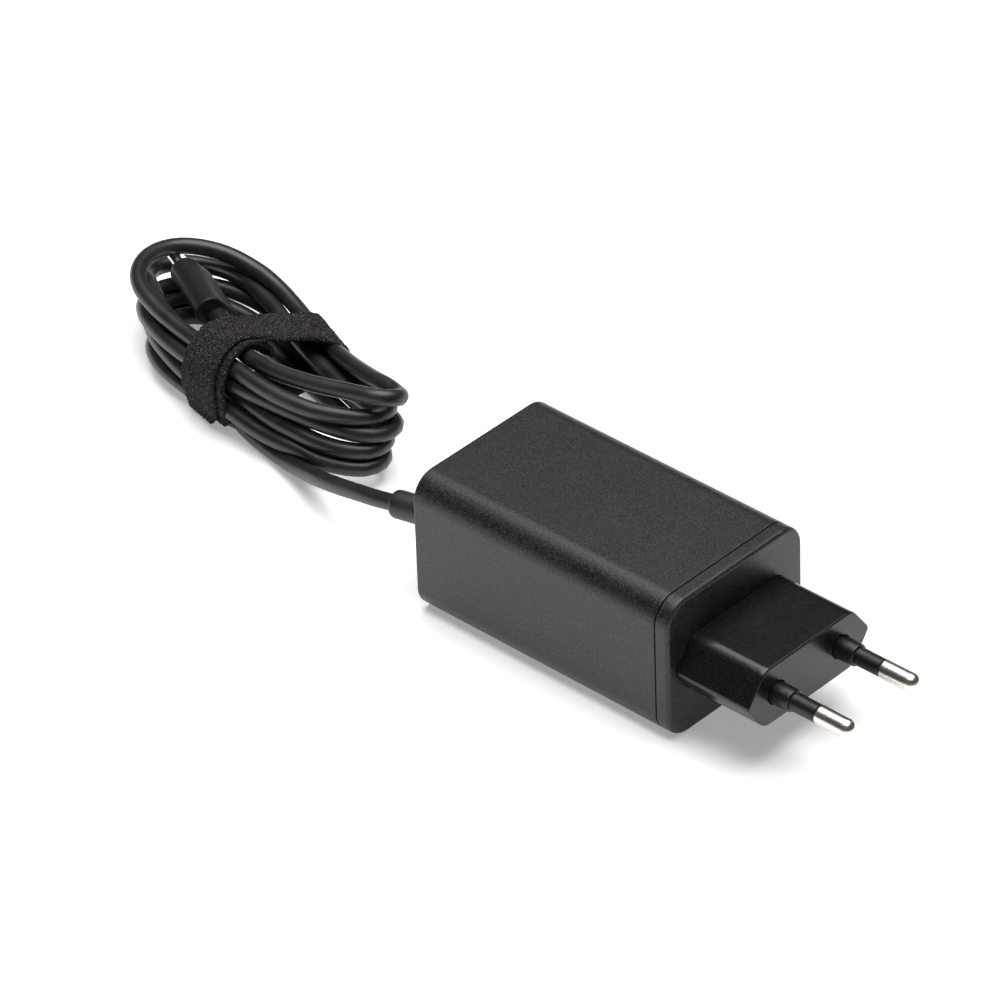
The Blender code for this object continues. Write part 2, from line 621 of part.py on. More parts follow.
def make_connector(moulded, metal, inner, gold):
    length = (CONNECTOR_FRONT - CONNECTOR_REAR).length
    wide, thick = CONNECTOR_WIDTH, CONNECTOR_THICK
    rings = [connector_ring(0.0, wide - 1.0 * MM, thick - 1.0 * MM), connector_ring(0.5 * MM, wide, thick),
             connector_ring(length - 2.2 * MM, wide, thick), connector_ring(length - 0.7 * MM, wide - 0.7 * MM, thick - 0.7 * MM),
             connector_ring(length, wide - 2.0 * MM, thick - 2.0 * MM)]
    loft("connector_body", rings, moulded)

    shell_wide, shell_thick, wall = 8.3 * MM, 2.5 * MM, 0.3 * MM
    start, end, floor = length + GAP, length + 7.0 * MM, length + 1.0 * MM
    rings = [connector_ring(start, shell_wide, shell_thick), connector_ring(end, shell_wide, shell_thick),
             connector_ring(end, shell_wide - 2 * wall, shell_thick - 2 * wall),
             connector_ring(floor, shell_wide - 2 * wall, shell_thick - 2 * wall)]
    loft("connector_shell", rings, metal)
    for name, side in (("connector_contacts_upper", 1), ("connector_contacts_lower", -1)):
        along, across, through = connector_axes()
        corners = []
        for distance in (floor + GAP, end - 0.6 * MM):
            for a, b in ((-3.2, 0.42), (3.2, 0.42), (3.2, 0.68), (-3.2, 0.68)):
                corners.append(CONNECTOR_REAR + along * distance + across * a * MM + through * side * b * MM)
        loft(name, [[tuple(c) for c in corners[:4]], [tuple(c) for c in corners[4:]]], gold if side > 0 else inner)

    along, across, through = connector_axes()
    rings = []
    for distance, radius in ((-GAP, 2.3 * MM), (-3.0 * MM, 2.2 * MM), (-5.6 * MM, 2.1 * MM), (-6.0 * MM, 1.8 * MM)):
        centre = CONNECTOR_REAR + along * distance
        rings.append([tuple(centre + (across * math.cos(a) + through * math.sin(a)) * radius)
                      for a in (k * math.tau / 16 for k in range(16))])
    loft("connector_relief", rings, moulded)


def main():
    moulded = material("housing_black", (0.028, 0.028, 0.029), 0.5)
    glossier = material("plug_black", (0.024, 0.024, 0.025), 0.38)
    nickel = material("pin_nickel", (0.78, 0.74, 0.68), 0.18, 1.0)
    sleeve = material("sleeve_black", (0.03, 0.03, 0.031), 0.42)
    spring = material("contact_brass", (0.75, 0.6, 0.35), 0.35, 1.0)
    laminate = material("board_green", (0.03, 0.16, 0.07), 0.5)
    sheet = material("insulation_sheet", (0.55, 0.5, 0.4), 0.7)
    metal = material("spreader_aluminium", (0.8, 0.8, 0.81), 0.4, 1.0)
    ferrite = material("ferrite_grey", (0.06, 0.06, 0.065), 0.6)
    former = material("bobbin_black", (0.05, 0.05, 0.05), 0.5)
    tape = material("winding_tape", (0.75, 0.55, 0.1), 0.5)
    copper = material("winding_copper", (0.7, 0.3, 0.15), 0.35, 1.0)
    can = material("capacitor_sleeve", (0.02, 0.03, 0.07), 0.4)
    paint = {"fuse": material("fuse_white", (0.7, 0.7, 0.66), 0.5),
             "varistor": material("varistor_blue", (0.06, 0.14, 0.4), 0.5),
             "film": material("film_yellow", (0.75, 0.6, 0.12), 0.5),
             "ceramic": material("ceramic_blue", (0.1, 0.25, 0.55), 0.5),
             "chip": material("chip_black", (0.02, 0.02, 0.02), 0.5),
             "opto": material("opto_white", (0.75, 0.75, 0.72), 0.5),
             "pad": material("thermal_pad_grey", (0.4, 0.42, 0.45), 0.8)}
    cord = material("cord_black", (0.03, 0.03, 0.031), 0.45)
    fabric = material("strap_black", (0.02, 0.02, 0.02), 0.9)
    shell = material("shell_steel", (0.75, 0.75, 0.76), 0.25, 1.0)
    gold = material("contact_gold", (0.85, 0.65, 0.3), 0.3, 1.0)
    red = material("wire_red", (0.5, 0.03, 0.03), 0.5)

    make_housing_shell(moulded)
    make_front_cap(moulded)
    make_plug_block(glossier)
    for name, side in (("near", -1), ("far", 1)):
        make_pin("contact_pin_" + name, side, nickel)
        make_sleeve("pin_sleeve_" + name, side, sleeve)
        make_contact_strip("contact_strip_" + name, side, spring)

    make_board(laminate)
    make_insulation_tray(sheet)
    make_heat_spreader(metal)
    make_transformer(ferrite, former, tape)
    make_capacitor("bulk_capacitor_front", 4.7 * MM, 19.0 * MM, (-16.6 * MM, -9.6 * MM, PART_LOW), can)
    make_capacitor("bulk_capacitor_rear", 4.0 * MM, 17.0 * MM, (-25.6 * MM, -9.6 * MM, PART_LOW), can)
    make_capacitor("output_capacitor", 3.6 * MM, 13.0 * MM, (-38.4 * MM, 9.6 * MM, PART_LOW), can)
    make_choke(ferrite, copper)
    make_small_parts(paint)

    route = smooth_route(CORD_ROUTE, 8)
    relief_end = RELIEF_SPANS * 8
    make_strain_relief(route[:relief_end + 1], cord)
    make_lead_wires(red, paint["chip"])
    free = route[relief_end:]
    start = free[0] + (free[1] - free[0]).normalized() * GAP
    tube("output_cord", spaced([start] + free[1:], 7 * MM), CORD_RADIUS, cord)
    make_hank(cord)
    make_strap(fabric)
    make_connector(moulded, shell, former, gold)


clear_scene()
ROOT = bpy.data.objects.new("charger", None)
bpy.context.scene.collection.objects.link(ROOT)
main()
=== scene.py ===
"""Studio look of a two-pin USB wall charger with its captive cord wound in a tied hank.

Every length is in metres unless a name or comment says millimetres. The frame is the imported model's
own: +Z up, +X the way the pins go into a socket, the origin under the middle of the charger.
"""

import json
import logging
import math
from dataclasses import dataclass, field
from enum import Enum
from typing import Callable, Iterable, Optional, Sequence, Union

import bmesh
import bpy
import numpy as np
from mathutils import Matrix, Vector


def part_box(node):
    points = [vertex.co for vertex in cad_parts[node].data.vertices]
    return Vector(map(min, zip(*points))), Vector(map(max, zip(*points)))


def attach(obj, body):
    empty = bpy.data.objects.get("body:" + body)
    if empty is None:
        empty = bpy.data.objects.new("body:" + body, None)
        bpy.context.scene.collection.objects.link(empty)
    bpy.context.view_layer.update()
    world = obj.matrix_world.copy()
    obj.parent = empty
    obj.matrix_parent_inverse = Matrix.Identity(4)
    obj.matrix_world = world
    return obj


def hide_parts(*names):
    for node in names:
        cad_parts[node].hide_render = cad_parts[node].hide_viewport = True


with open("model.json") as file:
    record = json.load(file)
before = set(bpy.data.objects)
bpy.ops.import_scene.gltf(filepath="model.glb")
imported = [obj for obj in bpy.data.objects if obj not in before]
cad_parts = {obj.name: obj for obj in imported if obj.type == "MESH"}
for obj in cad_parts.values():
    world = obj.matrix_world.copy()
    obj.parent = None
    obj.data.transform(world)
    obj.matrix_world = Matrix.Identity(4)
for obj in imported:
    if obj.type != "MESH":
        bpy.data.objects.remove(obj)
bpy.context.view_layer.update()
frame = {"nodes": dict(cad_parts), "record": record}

logging.basicConfig(level=logging.INFO, format="%(message)s")
LOG = logging.getLogger("charger")

MM = 0.001
ROOT = "root"
Pair = tuple[float, float]
Triple = tuple[float, float, float]
Ring = list[Triple]

# The Mix node's colour sockets, by number, as its names repeat for each data type.
MIX_FIRST, MIX_SECOND, MIX_RESULT = 6, 7, 2


class Side(Enum):
    """The two sides of the plug, named as seen from the front left."""

    NEAR = -1
    FAR = 1


# ---------------------------------------------------------------- shader arithmetic

class Value:
    """A shader socket that takes part in arithmetic, each step adding its Math node."""

    def __init__(self, graph: "Graph", socket: bpy.types.NodeSocket) -> None:
        """Wraps a socket of a graph."""
        self.graph = graph
        self.socket = socket

    def _math(self, operation: str, first: "Term", second: "Term") -> "Value":
        """Adds a Math node and returns its result."""
        return self.graph.add("ShaderNodeMath", {"operation": operation}, {0: first, 1: second})

    def __add__(self, other: "Term") -> "Value":
        """self + other."""
        return self._math("ADD", self, other)

    def __radd__(self, other: "Term") -> "Value":
        """other + self."""
        return self._math("ADD", other, self)

    def __sub__(self, other: "Term") -> "Value":
        """self - other."""
        return self._math("SUBTRACT", self, other)

    def __rsub__(self, other: "Term") -> "Value":
        """other - self."""
        return self._math("SUBTRACT", other, self)

    def __mul__(self, other: "Term") -> "Value":
        """self * other."""
        return self._math("MULTIPLY", self, other)

    def __rmul__(self, other: "Term") -> "Value":
        """other * self."""
        return self._math("MULTIPLY", other, self)

    def __pow__(self, other: "Term") -> "Value":
        """self raised to other."""
        return self._math("POWER", self, other)

    def __rpow__(self, other: "Term") -> "Value":
        """other raised to self."""
        return self._math("POWER", other, self)

    def __abs__(self) -> "Value":
        """The value without its sign."""
        return self._math("ABSOLUTE", self, 0.0)

    def __lt__(self, other: "Term") -> "Value":
        """1 where self is below other, and 0 elsewhere."""
        return self._math("LESS_THAN", self, other)

    def __gt__(self, other: "Term") -> "Value":
        """1 where self is above other, and 0 elsewhere."""
        return self._math("GREATER_THAN", self, other)


Term = Union[Value, float, int]


class Graph:
    """The nodes of one material."""

    def __init__(self, name: str) -> None:
        """Makes an empty Principled material.

        Args:
            name: the material's name.
        """
        self.material = bpy.data.materials.new(name)
        self.material.use_nodes = True
        self.tree = self.material.node_tree
        self.shader = self.tree.nodes["Principled BSDF"]
        self._place: Optional[Value] = None

    def _feed(self, socket: bpy.types.NodeSocket, value: object) -> None:
        """Links a Value to a socket, or sets anything else on it.

        Args:
            socket: the socket to feed.
            value: a Value, a colour or a number.
        """
        if isinstance(value, Value):
            self.tree.links.new(value.socket, socket)
        elif isinstance(value, (tuple, list)) and socket.type == "RGBA":
            socket.default_value = (*value[:3], 1.0)
        else:
            socket.default_value = value

    def add(self, kind: str, settings: dict, inputs: dict, output: Union[int, str] = 0) -> Value:
        """Adds any node.

        Args:
            kind: the node's type.
            settings: its own properties, set first.
            inputs: values or links for its sockets, by name or number.
            output: which of its outputs is wanted.

        Returns:
            The wanted output.
        """
        node = self.tree.nodes.new(kind)
        for name, value in settings.items():
            setattr(node, name, value)
        for name, value in inputs.items():
            self._feed(node.inputs[name], value)
        return Value(self, node.outputs[output])

    @property
    def place(self) -> Value:
        """Where the shaded point is in the object, in metres.

        Returns:
            The place.
        """
        if self._place is None:
            self._place = self.add("ShaderNodeTexCoord", {}, {}, "Object")
        return self._place

    def axis(self, index: int) -> Value:
        """One coordinate of the place: 0, 1 or 2."""
        return self.add("ShaderNodeSeparateXYZ", {}, {0: self.place}, index)

    def stretched(self, scale: Triple) -> Value:
        """The place with each coordinate multiplied."""
        return self.add("ShaderNodeVectorMath", {"operation": "MULTIPLY"}, {0: self.place, 1: scale})

    def noise(self, size: float, detail: float = 2.0, rough: float = 0.5,
              place: Optional[Value] = None) -> Value:
        """Smooth noise whose features are about a given size in metres."""
        inputs = {"Vector": place or self.place, "Scale": 1.0 / size, "Detail": detail, "Roughness": rough}
        return self.add("ShaderNodeTexNoise", {}, inputs, 0)

    def cells(self, size: float, output: str = "Distance") -> Value:
        """Cells of about a given size: the distance to a cell's seed, or its own random colour."""
        inputs = {"Vector": self.place, "Scale": 1.0 / size}
        return self.add("ShaderNodeTexVoronoi", {}, inputs, output)

    def ramp(self, value: Term, low: float, high: float, start: float = 0.0, end: float = 1.0) -> Value:
        """Maps low..high to start..end, held at both ends."""
        inputs = {"Value": value, "From Min": low, "From Max": high, "To Min": start, "To Max": end}
        return self.add("ShaderNodeMapRange", {"clamp": True}, inputs)

    def blend(self, factor: Term, first: object, second: object) -> Value:
        """A colour between two.

        Args:
            factor: 0 for the first and 1 for the second.
            first: a colour or a link.
            second: another.

        Returns:
            The mixed colour.
        """
        inputs = {0: factor, MIX_FIRST: first, MIX_SECOND: second}
        return self.add("ShaderNodeMix", {"data_type": "RGBA"}, inputs, MIX_RESULT)

    def bump(self, height: Term, depth: float, strength: float) -> Value:
        """A surface normal that a height from 0 to 1 disturbs by a depth in metres."""
        return self.add("ShaderNodeBump", {}, {"Height": height, "Distance": depth, "Strength": strength})

    def dust(self, spacing: float, speck: float, share: float) -> Value:
        """Sparse specks: 1 on a speck and 0 elsewhere.

        Args:
            spacing: how far apart they may be.
            speck: a speck's radius.
            share: the share of the places that hold one.

        Returns:
            The mask.
        """
        near = self.cells(spacing) < speck / spacing
        chosen = self.add("ShaderNodeSeparateColor", {}, {0: self.cells(spacing, "Color")}, 0) < share
        return near * chosen

    def finish(self, **sockets: object) -> bpy.types.Material:
        """Feeds the Principled shader and returns the material.

        Args:
            sockets: values or links by socket name, with _ for a space.

        Returns:
            The finished material.
        """
        for name, value in sockets.items():
            self._feed(self.shader.inputs[name.replace("_", " ")], value)
        return self.material


# ---------------------------------------------------------------- finishes

@dataclass(frozen=True)
class MouldedPlastic:
    """Moulded plastic with a spark-eroded grain."""

    name: str
    colour: Triple = (0.0015, 0.0015, 0.0016)
    light: Triple = (0.048, 0.048, 0.049)
    roughness: float = 0.37
    grain: float = 0.25 * MM
    depth: float = 0.05 * MM
    dust_share: float = 0.3
    shine: float = 0.4

    def make(self, extra: Optional[Callable[[Graph, Value], Value]] = None) -> bpy.types.Material:
        """Builds the material.

        Args:
            extra: adds to the height of the surface, from the graph and the height so far.

        Returns:
            The material.
        """
        g = Graph(self.name)
        g.shader.inputs["Specular IOR Level"].default_value = self.shine
        fine = g.noise(self.grain, 3.0, 0.65)
        broad = g.noise(9 * MM, 2.0)
        dust = g.dust(7 * MM, 0.09 * MM, self.dust_share)
        speckle = g.ramp(g.noise(self.grain, 2.0, 0.7), 0.48, 0.64)
        colour = g.blend(speckle, self.colour, self.light)
        colour = g.blend(g.ramp(broad, 0.3, 0.7, 0.0, 0.08), colour, self.light)
        colour = g.blend(dust * 0.6, colour, (0.4, 0.4, 0.38))
        rough = self.roughness + (fine - 0.5) * 0.14 + (broad - 0.5) * 0.05
        height = fine + g.noise(0.9 * MM, 2.0) * 0.5
        if extra is not None:
            height = extra(g, height)
        normal = g.bump(height, self.depth, 0.9)
        return g.finish(Base_Color=colour, Roughness=rough, Normal=normal)


@dataclass(frozen=True)
class PlatedMetal:
    """Bright plating with faint turning marks and handling marks."""

    name: str
    colour: Triple = (0.83, 0.79, 0.72)
    roughness: float = 0.27
    along: Triple = (1.0, 0.06, 0.06)

    def make(self) -> bpy.types.Material:
        """Builds the material.

        Returns:
            The material.
        """
        g = Graph(self.name)
        lines = g.noise(0.12 * MM, 2.0, 0.6, g.stretched(self.along))
        cloud = g.noise(1.6 * MM, 3.0)
        colour = g.blend(g.ramp(cloud, 0.35, 0.7), self.colour, tuple(0.86 * c for c in self.colour))
        rough = self.roughness + (cloud - 0.5) * 0.12 + (lines - 0.5) * 0.05
        normal = g.bump(lines, 0.004 * MM, 0.5)
        return g.finish(Base_Color=colour, Metallic=1.0, Roughness=rough, Normal=normal)


@dataclass(frozen=True)
class CordJacket:
    """Satin elastomer drawn over a round cord."""

    name: str
    colour: Triple = (0.0095, 0.0099, 0.0098)
    light: Triple = (0.0185, 0.0192, 0.0190)
    roughness: float = 0.4

    def make(self) -> bpy.types.Material:
        """Builds the material.

        Returns:
            The material.
        """
        g = Graph(self.name)
        cloud = g.noise(5 * MM, 3.0)
        fine = g.noise(0.22 * MM, 2.0, 0.6)
        dust = g.dust(5 * MM, 0.07 * MM, 0.2)
        colour = g.blend(g.ramp(cloud, 0.35, 0.7), self.colour, self.light)
        colour = g.blend(dust * 0.5, colour, (0.35, 0.35, 0.33))
        rough = self.roughness + (cloud - 0.5) * 0.12 + (fine - 0.5) * 0.05
        normal = g.bump(fine + g.noise(1.4 * MM, 1.0) * 0.6, 0.010 * MM, 0.5)
        return g.finish(Base_Color=colour, Roughness=rough, Normal=normal)


@dataclass(frozen=True)
class LoopPile:
    """The looped side of a hook-and-loop tape: dark yarn, with painted shade between its loops and a painted glint on
    their tops.
    """

    name: str
    # painted shade: the colour of the hollows between the loops, where shade falls
    hollow_shade: Triple = (0.0012, 0.0011, 0.0011)
    yarn: Triple = (0.017, 0.0152, 0.0148)
    # painted highlight: the pale colour of the glints on the tops of the loops
    top: Triple = (0.42, 0.385, 0.375)
    loop: float = 0.36 * MM
    shine: float = 0.2

    def make(self) -> bpy.types.Material:
        """Builds the material.

        Returns:
            The material.
        """
        g = Graph(self.name)
        tuft = g.noise(self.loop, 2.0, 0.7)
        fibre = g.noise(0.2 * MM, 1.0, 0.6)
        seeds = g.cells(0.5 * MM)
        height = g.ramp(tuft * 0.6 + fibre * 0.5 - seeds * 0.2, 0.3, 0.62)
        # painted shade: the low places between the loops are painted darker
        colour = g.blend(g.ramp(height, 0.1, 0.7), self.hollow_shade, self.yarn)
        # painted highlight: glints painted on the tops of the loops, where the fibres catch the light
        glint = g.ramp(fibre, 0.56, 0.74) * g.ramp(tuft, 0.42, 0.66)
        colour = g.blend(glint, colour, self.top)
        colour = g.blend(g.ramp(g.noise(0.5 * MM), 0.55, 0.75, 0.0, 0.35), colour, (0.03, 0.018, 0.016))
        normal = g.bump(height, 0.2 * MM, 0.8)
        g.shader.inputs["Specular IOR Level"].default_value = self.shine
        return g.finish(Base_Color=colour, Roughness=0.85, Normal=normal)


@dataclass(frozen=True)
class HiddenFinish:
    """A finish for a piece sealed inside the housing: a colour with a faint grain of its own."""

    slot: str
    colour: Triple
    roughness: float = 0.5
    metallic: float = 0.0
    grain: float = 0.6 * MM

    def make(self) -> bpy.types.Material:
        """Builds the material.

        Returns:
            The material.
        """
        g = Graph("inside_" + self.slot)
        fine = g.noise(self.grain, 3.0)
        darker = tuple(0.7 * c for c in self.colour)
        colour = g.blend(g.ramp(fine, 0.3, 0.7), darker, self.colour)
        normal = g.bump(fine, 0.03 * MM, 0.5)
        rough = self.roughness + (fine - 0.5) * 0.15
        return g.finish(Base_Color=colour, Metallic=self.metallic, Roughness=rough, Normal=normal)


# ---------------------------------------------------------------- mesh helpers

def piece(name: str, bm: bmesh.types.BMesh, finish: bpy.types.Material,
          angle: float = 32.0) -> bpy.types.Object:
    """Closes a bmesh into a shown piece that rides on the charger.

    Args:
        name: the piece's name.
        bm: its mesh, used up here.
        finish: its material.
        angle: edges sharper than this many degrees stay sharp.

    Returns:
        The piece.
    """
    bmesh.ops.recalc_face_normals(bm, faces=bm.faces)
    mesh = bpy.data.meshes.new(name)
    bm.to_mesh(mesh)
    bm.free()
    mesh.materials.append(finish)
    mesh.shade_smooth()
    mesh.set_sharp_from_angle(angle=math.radians(angle))
    made = bpy.data.objects.new(name, mesh)
    bpy.context.scene.collection.objects.link(made)
    weigh = made.modifiers.new("even shading", "WEIGHTED_NORMAL")
    weigh.keep_sharp = True
    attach(made, ROOT)
    return made


def add_rings(bm: bmesh.types.BMesh, rings: Iterable[Ring]) -> list[list]:
    """Joins rings of points with faces.

    Args:
        bm: the mesh to add to.
        rings: rings with the same number of points.

    Returns:
        The rings' vertices.
    """
    rows = [[bm.verts.new(point) for point in ring] for ring in rings]
    for low, high in zip(rows, rows[1:]):
        for i in range(len(low)):
            j = (i + 1) % len(low)
            bm.faces.new((low[i], low[j], high[j], high[i]))
    return rows


def wall_between(bm: bmesh.types.BMesh, outer: list, inner: list) -> None:
    """Joins two loops of vertices with faces.

    Args:
        bm: the mesh to add to.
        outer: the first loop.
        inner: the second, with as many vertices.
    """
    for i in range(len(outer)):
        j = (i + 1) % len(outer)
        bm.faces.new((outer[i], outer[j], inner[j], inner[i]))


def fill_between(bm: bmesh.types.BMesh, *loops: list) -> None:
    """Fills a flat face bounded by loops of vertices.

    Args:
        bm: the mesh to add to.
        loops: its outline, and the outlines of its holes.
    """
    edges = []
    for loop in loops:
        for i, vert in enumerate(loop):
            pair = (vert, loop[(i + 1) % len(loop)])
            edges.append(bm.edges.get(pair) or bm.edges.new(pair))
    bmesh.ops.triangle_fill(bm, edges=edges, use_beauty=True, use_dissolve=False)


def rounded_rectangle(width: float, height: float, radius: float, steps: int) -> list[Pair]:
    """Corner arcs of a rectangle about the origin, anticlockwise.

    Args:
        width: its first side.
        height: its second side.
        radius: of its corners.
        steps: how many steps to a corner.

    Returns:
        The points.
    """
    points = []
    for quarter, (side, level) in enumerate(((1, 1), (-1, 1), (-1, -1), (1, -1))):
        for step in range(steps + 1):
            angle = (quarter + step / steps) * math.pi / 2
            points.append((side * (width / 2 - radius) + radius * math.cos(angle),
                           level * (height / 2 - radius) + radius * math.sin(angle)))
    return points


def rounded_polygon(corners: Sequence[Triple], steps: int) -> list[Pair]:
    """A polygon whose corners, each (a, b, radius), are replaced by arcs.

    Args:
        corners: the corners in order.
        steps: how many steps to an arc.

    Returns:
        The points.
    """
    points = []
    count = len(corners)
    for i, (a, b, radius) in enumerate(corners):
        here = Vector((a, b))
        before = (Vector(corners[i - 1][:2]) - here).normalized()
        after = (Vector(corners[(i + 1) % count][:2]) - here).normalized()
        half = before.angle(after) / 2
        centre = here + (before + after).normalized() * radius / math.sin(half)
        start = here + before * radius / math.tan(half) - centre
        turn = start.angle_signed(here + after * radius / math.tan(half) - centre)
        for step in range(steps + 1):
            point = centre + Matrix.Rotation(-turn * step / steps, 2) @ start
            points.append((point.x, point.y))
    return points


def quarter_round(radius: float, steps: int) -> list[Pair]:
    """(distance from the flat, inset) pairs that round an edge over, from the flat face outwards."""
    turns = [math.pi / 2 * k / steps for k in range(steps + 1)]
    return [(radius * (1 - math.sin(a)), radius * (1 - math.cos(a))) for a in reversed(turns)]


def turned(bm: bmesh.types.BMesh, profile: Sequence[Pair], centre: Vector, axis: Vector, across: Vector,
           count: int) -> list[list]:
    """Spins (distance, radius) pairs about an axis through a centre and returns the rings.

    Args:
        bm: the mesh to add to.
        profile: the pairs.
        centre: where distances start.
        axis: the way they go.
        across: where each ring starts.
        count: how many points to a ring.

    Returns:
        The rings' vertices.
    """
    up = axis.cross(across)
    rings = []
    for along, radius in profile:
        rings.append([tuple(centre + axis * along + (across * math.cos(a) + up * math.sin(a)) * radius)
                      for a in (k * math.tau / count for k in range(count))])
    return add_rings(bm, rings)


def catmull(points: np.ndarray, spans: int) -> np.ndarray:
    """A smooth line through points, so many steps to each span.

    Args:
        points: the points.
        spans: how many steps to a span.

    Returns:
        The line.
    """
    rows = []
    last = len(points) - 1
    for i in range(last):
        a, b = points[i], points[i + 1]
        before, after = points[max(i - 1, 0)], points[min(i + 2, last)]
        d0 = math.sqrt(max(np.linalg.norm(a - before), 1e-9))
        d1 = math.sqrt(max(np.linalg.norm(b - a), 1e-9))
        d2 = math.sqrt(max(np.linalg.norm(after - b), 1e-9))
        lead = ((a - before) / d0 - (b - before) / (d0 + d1) + (b - a) / d1) * d1 if i else b - a
        trail = ((b - a) / d1 - (after - a) / (d1 + d2) + (after - b) / d2) * d1 if i < last - 1 else b - a
        for step in range(spans):
            t = step / spans
            rows.append((2 * t ** 3 - 3 * t ** 2 + 1) * a + (t ** 3 - 2 * t ** 2 + t) * lead
                        + (3 * t ** 2 - 2 * t ** 3) * b + (t ** 3 - t ** 2) * trail)
    rows.append(points[last])
    return np.array(rows)


def evenly(line: np.ndarray, step: float) -> np.ndarray:
    """The same line with points about a step apart.

    Args:
        line: the line.
        step: how far apart.

    Returns:
        The new line.
    """
    lengths = np.r_[0, np.cumsum(np.linalg.norm(np.diff(line, axis=0), axis=1))]
    wanted = np.linspace(0, lengths[-1], int(round(lengths[-1] / step)) + 1)
    return np.stack([np.interp(wanted, lengths, line[:, i]) for i in range(line.shape[1])], 1)


# ---------------------------------------------------------------- the charger

@dataclass
class Housing:
    """The rounded box: a long shell and a front cap that meet at a fine seam."""

    low: Vector
    high: Vector
    seam: float
    edge: float = 5.4 * MM
    steps: int = 12
    rear_round: float = 0.4 * MM
    front_round: float = 0.9 * MM
    seam_gap: float = 0.26 * MM
    seam_round: float = 0.12 * MM
    wall: float = 2.0 * MM
    tongue: float = 3.9 * MM

    def ring(self, x: float, inset: float) -> Ring:
        """The cross-section at x, drawn in all round.

        Args:
            x: where it is.
            inset: how far it is drawn in.

        Returns:
            The points.
        """
        size = self.high - self.low
        radius = max(self.edge - inset, 0.8 * MM)
        middle = (self.low + self.high) / 2
        outline = rounded_rectangle(size.y - 2 * inset, size.z - 2 * inset, radius, self.steps)
        return [(x, middle.y + y, middle.z + z) for y, z in outline]

    def circle(self, bm: bmesh.types.BMesh, x: float, y: float, z: float, radius: float) -> list:
        """A round hole's loop of vertices at x."""
        return [bm.verts.new((x, y + radius * math.cos(a), z + radius * math.sin(a)))
                for a in (k * math.tau / 36 for k in range(36))]

    def build_shell(self, cord_exit: Vector, hole: float, finish: bpy.types.Material) -> bpy.types.Object:
        """The shell, open towards the cap, with the cord's hole in its rear face.

        Args:
            cord_exit: the middle of the cord's hole.
            hole: its radius.
            finish: the shell's material.

        Returns:
            The shell.
        """
        bm = bmesh.new()
        front = self.seam - self.seam_gap
        rear = [self.ring(self.low.x + d, inset) for d, inset in quarter_round(self.rear_round, 5)]
        lip = [self.ring(front - d, inset) for d, inset in reversed(quarter_round(self.seam_round, 2))]
        inside = [self.ring(front, self.wall), self.ring(self.low.x + self.wall, self.wall)]
        middle = [self.ring(self.low.x + 3 * MM, 0.0), self.ring(front - 1 * MM, 0.0)]
        rows = add_rings(bm, rear + middle + lip + inside)
        outer = self.circle(bm, self.low.x, cord_exit.y, cord_exit.z, hole)
        inner = self.circle(bm, self.low.x + self.wall, cord_exit.y, cord_exit.z, hole)
        wall_between(bm, outer, inner)
        fill_between(bm, rows[0], outer)
        fill_between(bm, rows[-1], inner)
        made = piece("shell", bm, finish)
        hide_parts("housing_shell")
        return made

    def build_cap(self, opening: Ring, finish: bpy.types.Material) -> bpy.types.Object:
        """The front cap, with an opening for the plug block.

        Args:
            opening: the plug block's outline, a little larger, in the cap's face.
            finish: the cap's material.

        Returns:
            The cap.
        """
        bm = bmesh.new()
        lip = [self.ring(self.seam + d, inset) for d, inset in quarter_round(self.seam_round, 2)]
        front = [self.ring(self.high.x - d, inset) for d, inset in reversed(quarter_round(self.front_round, 5))]
        back = [self.ring(self.high.x - self.wall, self.wall + 1.5 * MM),
                self.ring(self.seam - self.tongue, self.wall + 1.5 * MM),
                self.ring(self.seam - self.tongue, self.wall + 0.3 * MM), self.ring(self.seam, self.wall + 0.3 * MM)]
        rows = add_rings(bm, back + lip + front)
        outer = [bm.verts.new(point) for point in opening]
        inner = [bm.verts.new((self.high.x - self.wall, y, z)) for x, y, z in opening]
        wall_between(bm, outer, inner)
        fill_between(bm, rows[-1], outer)
        fill_between(bm, rows[0], inner)
        made = piece("cap", bm, finish)
        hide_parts("front_cap")
        return made


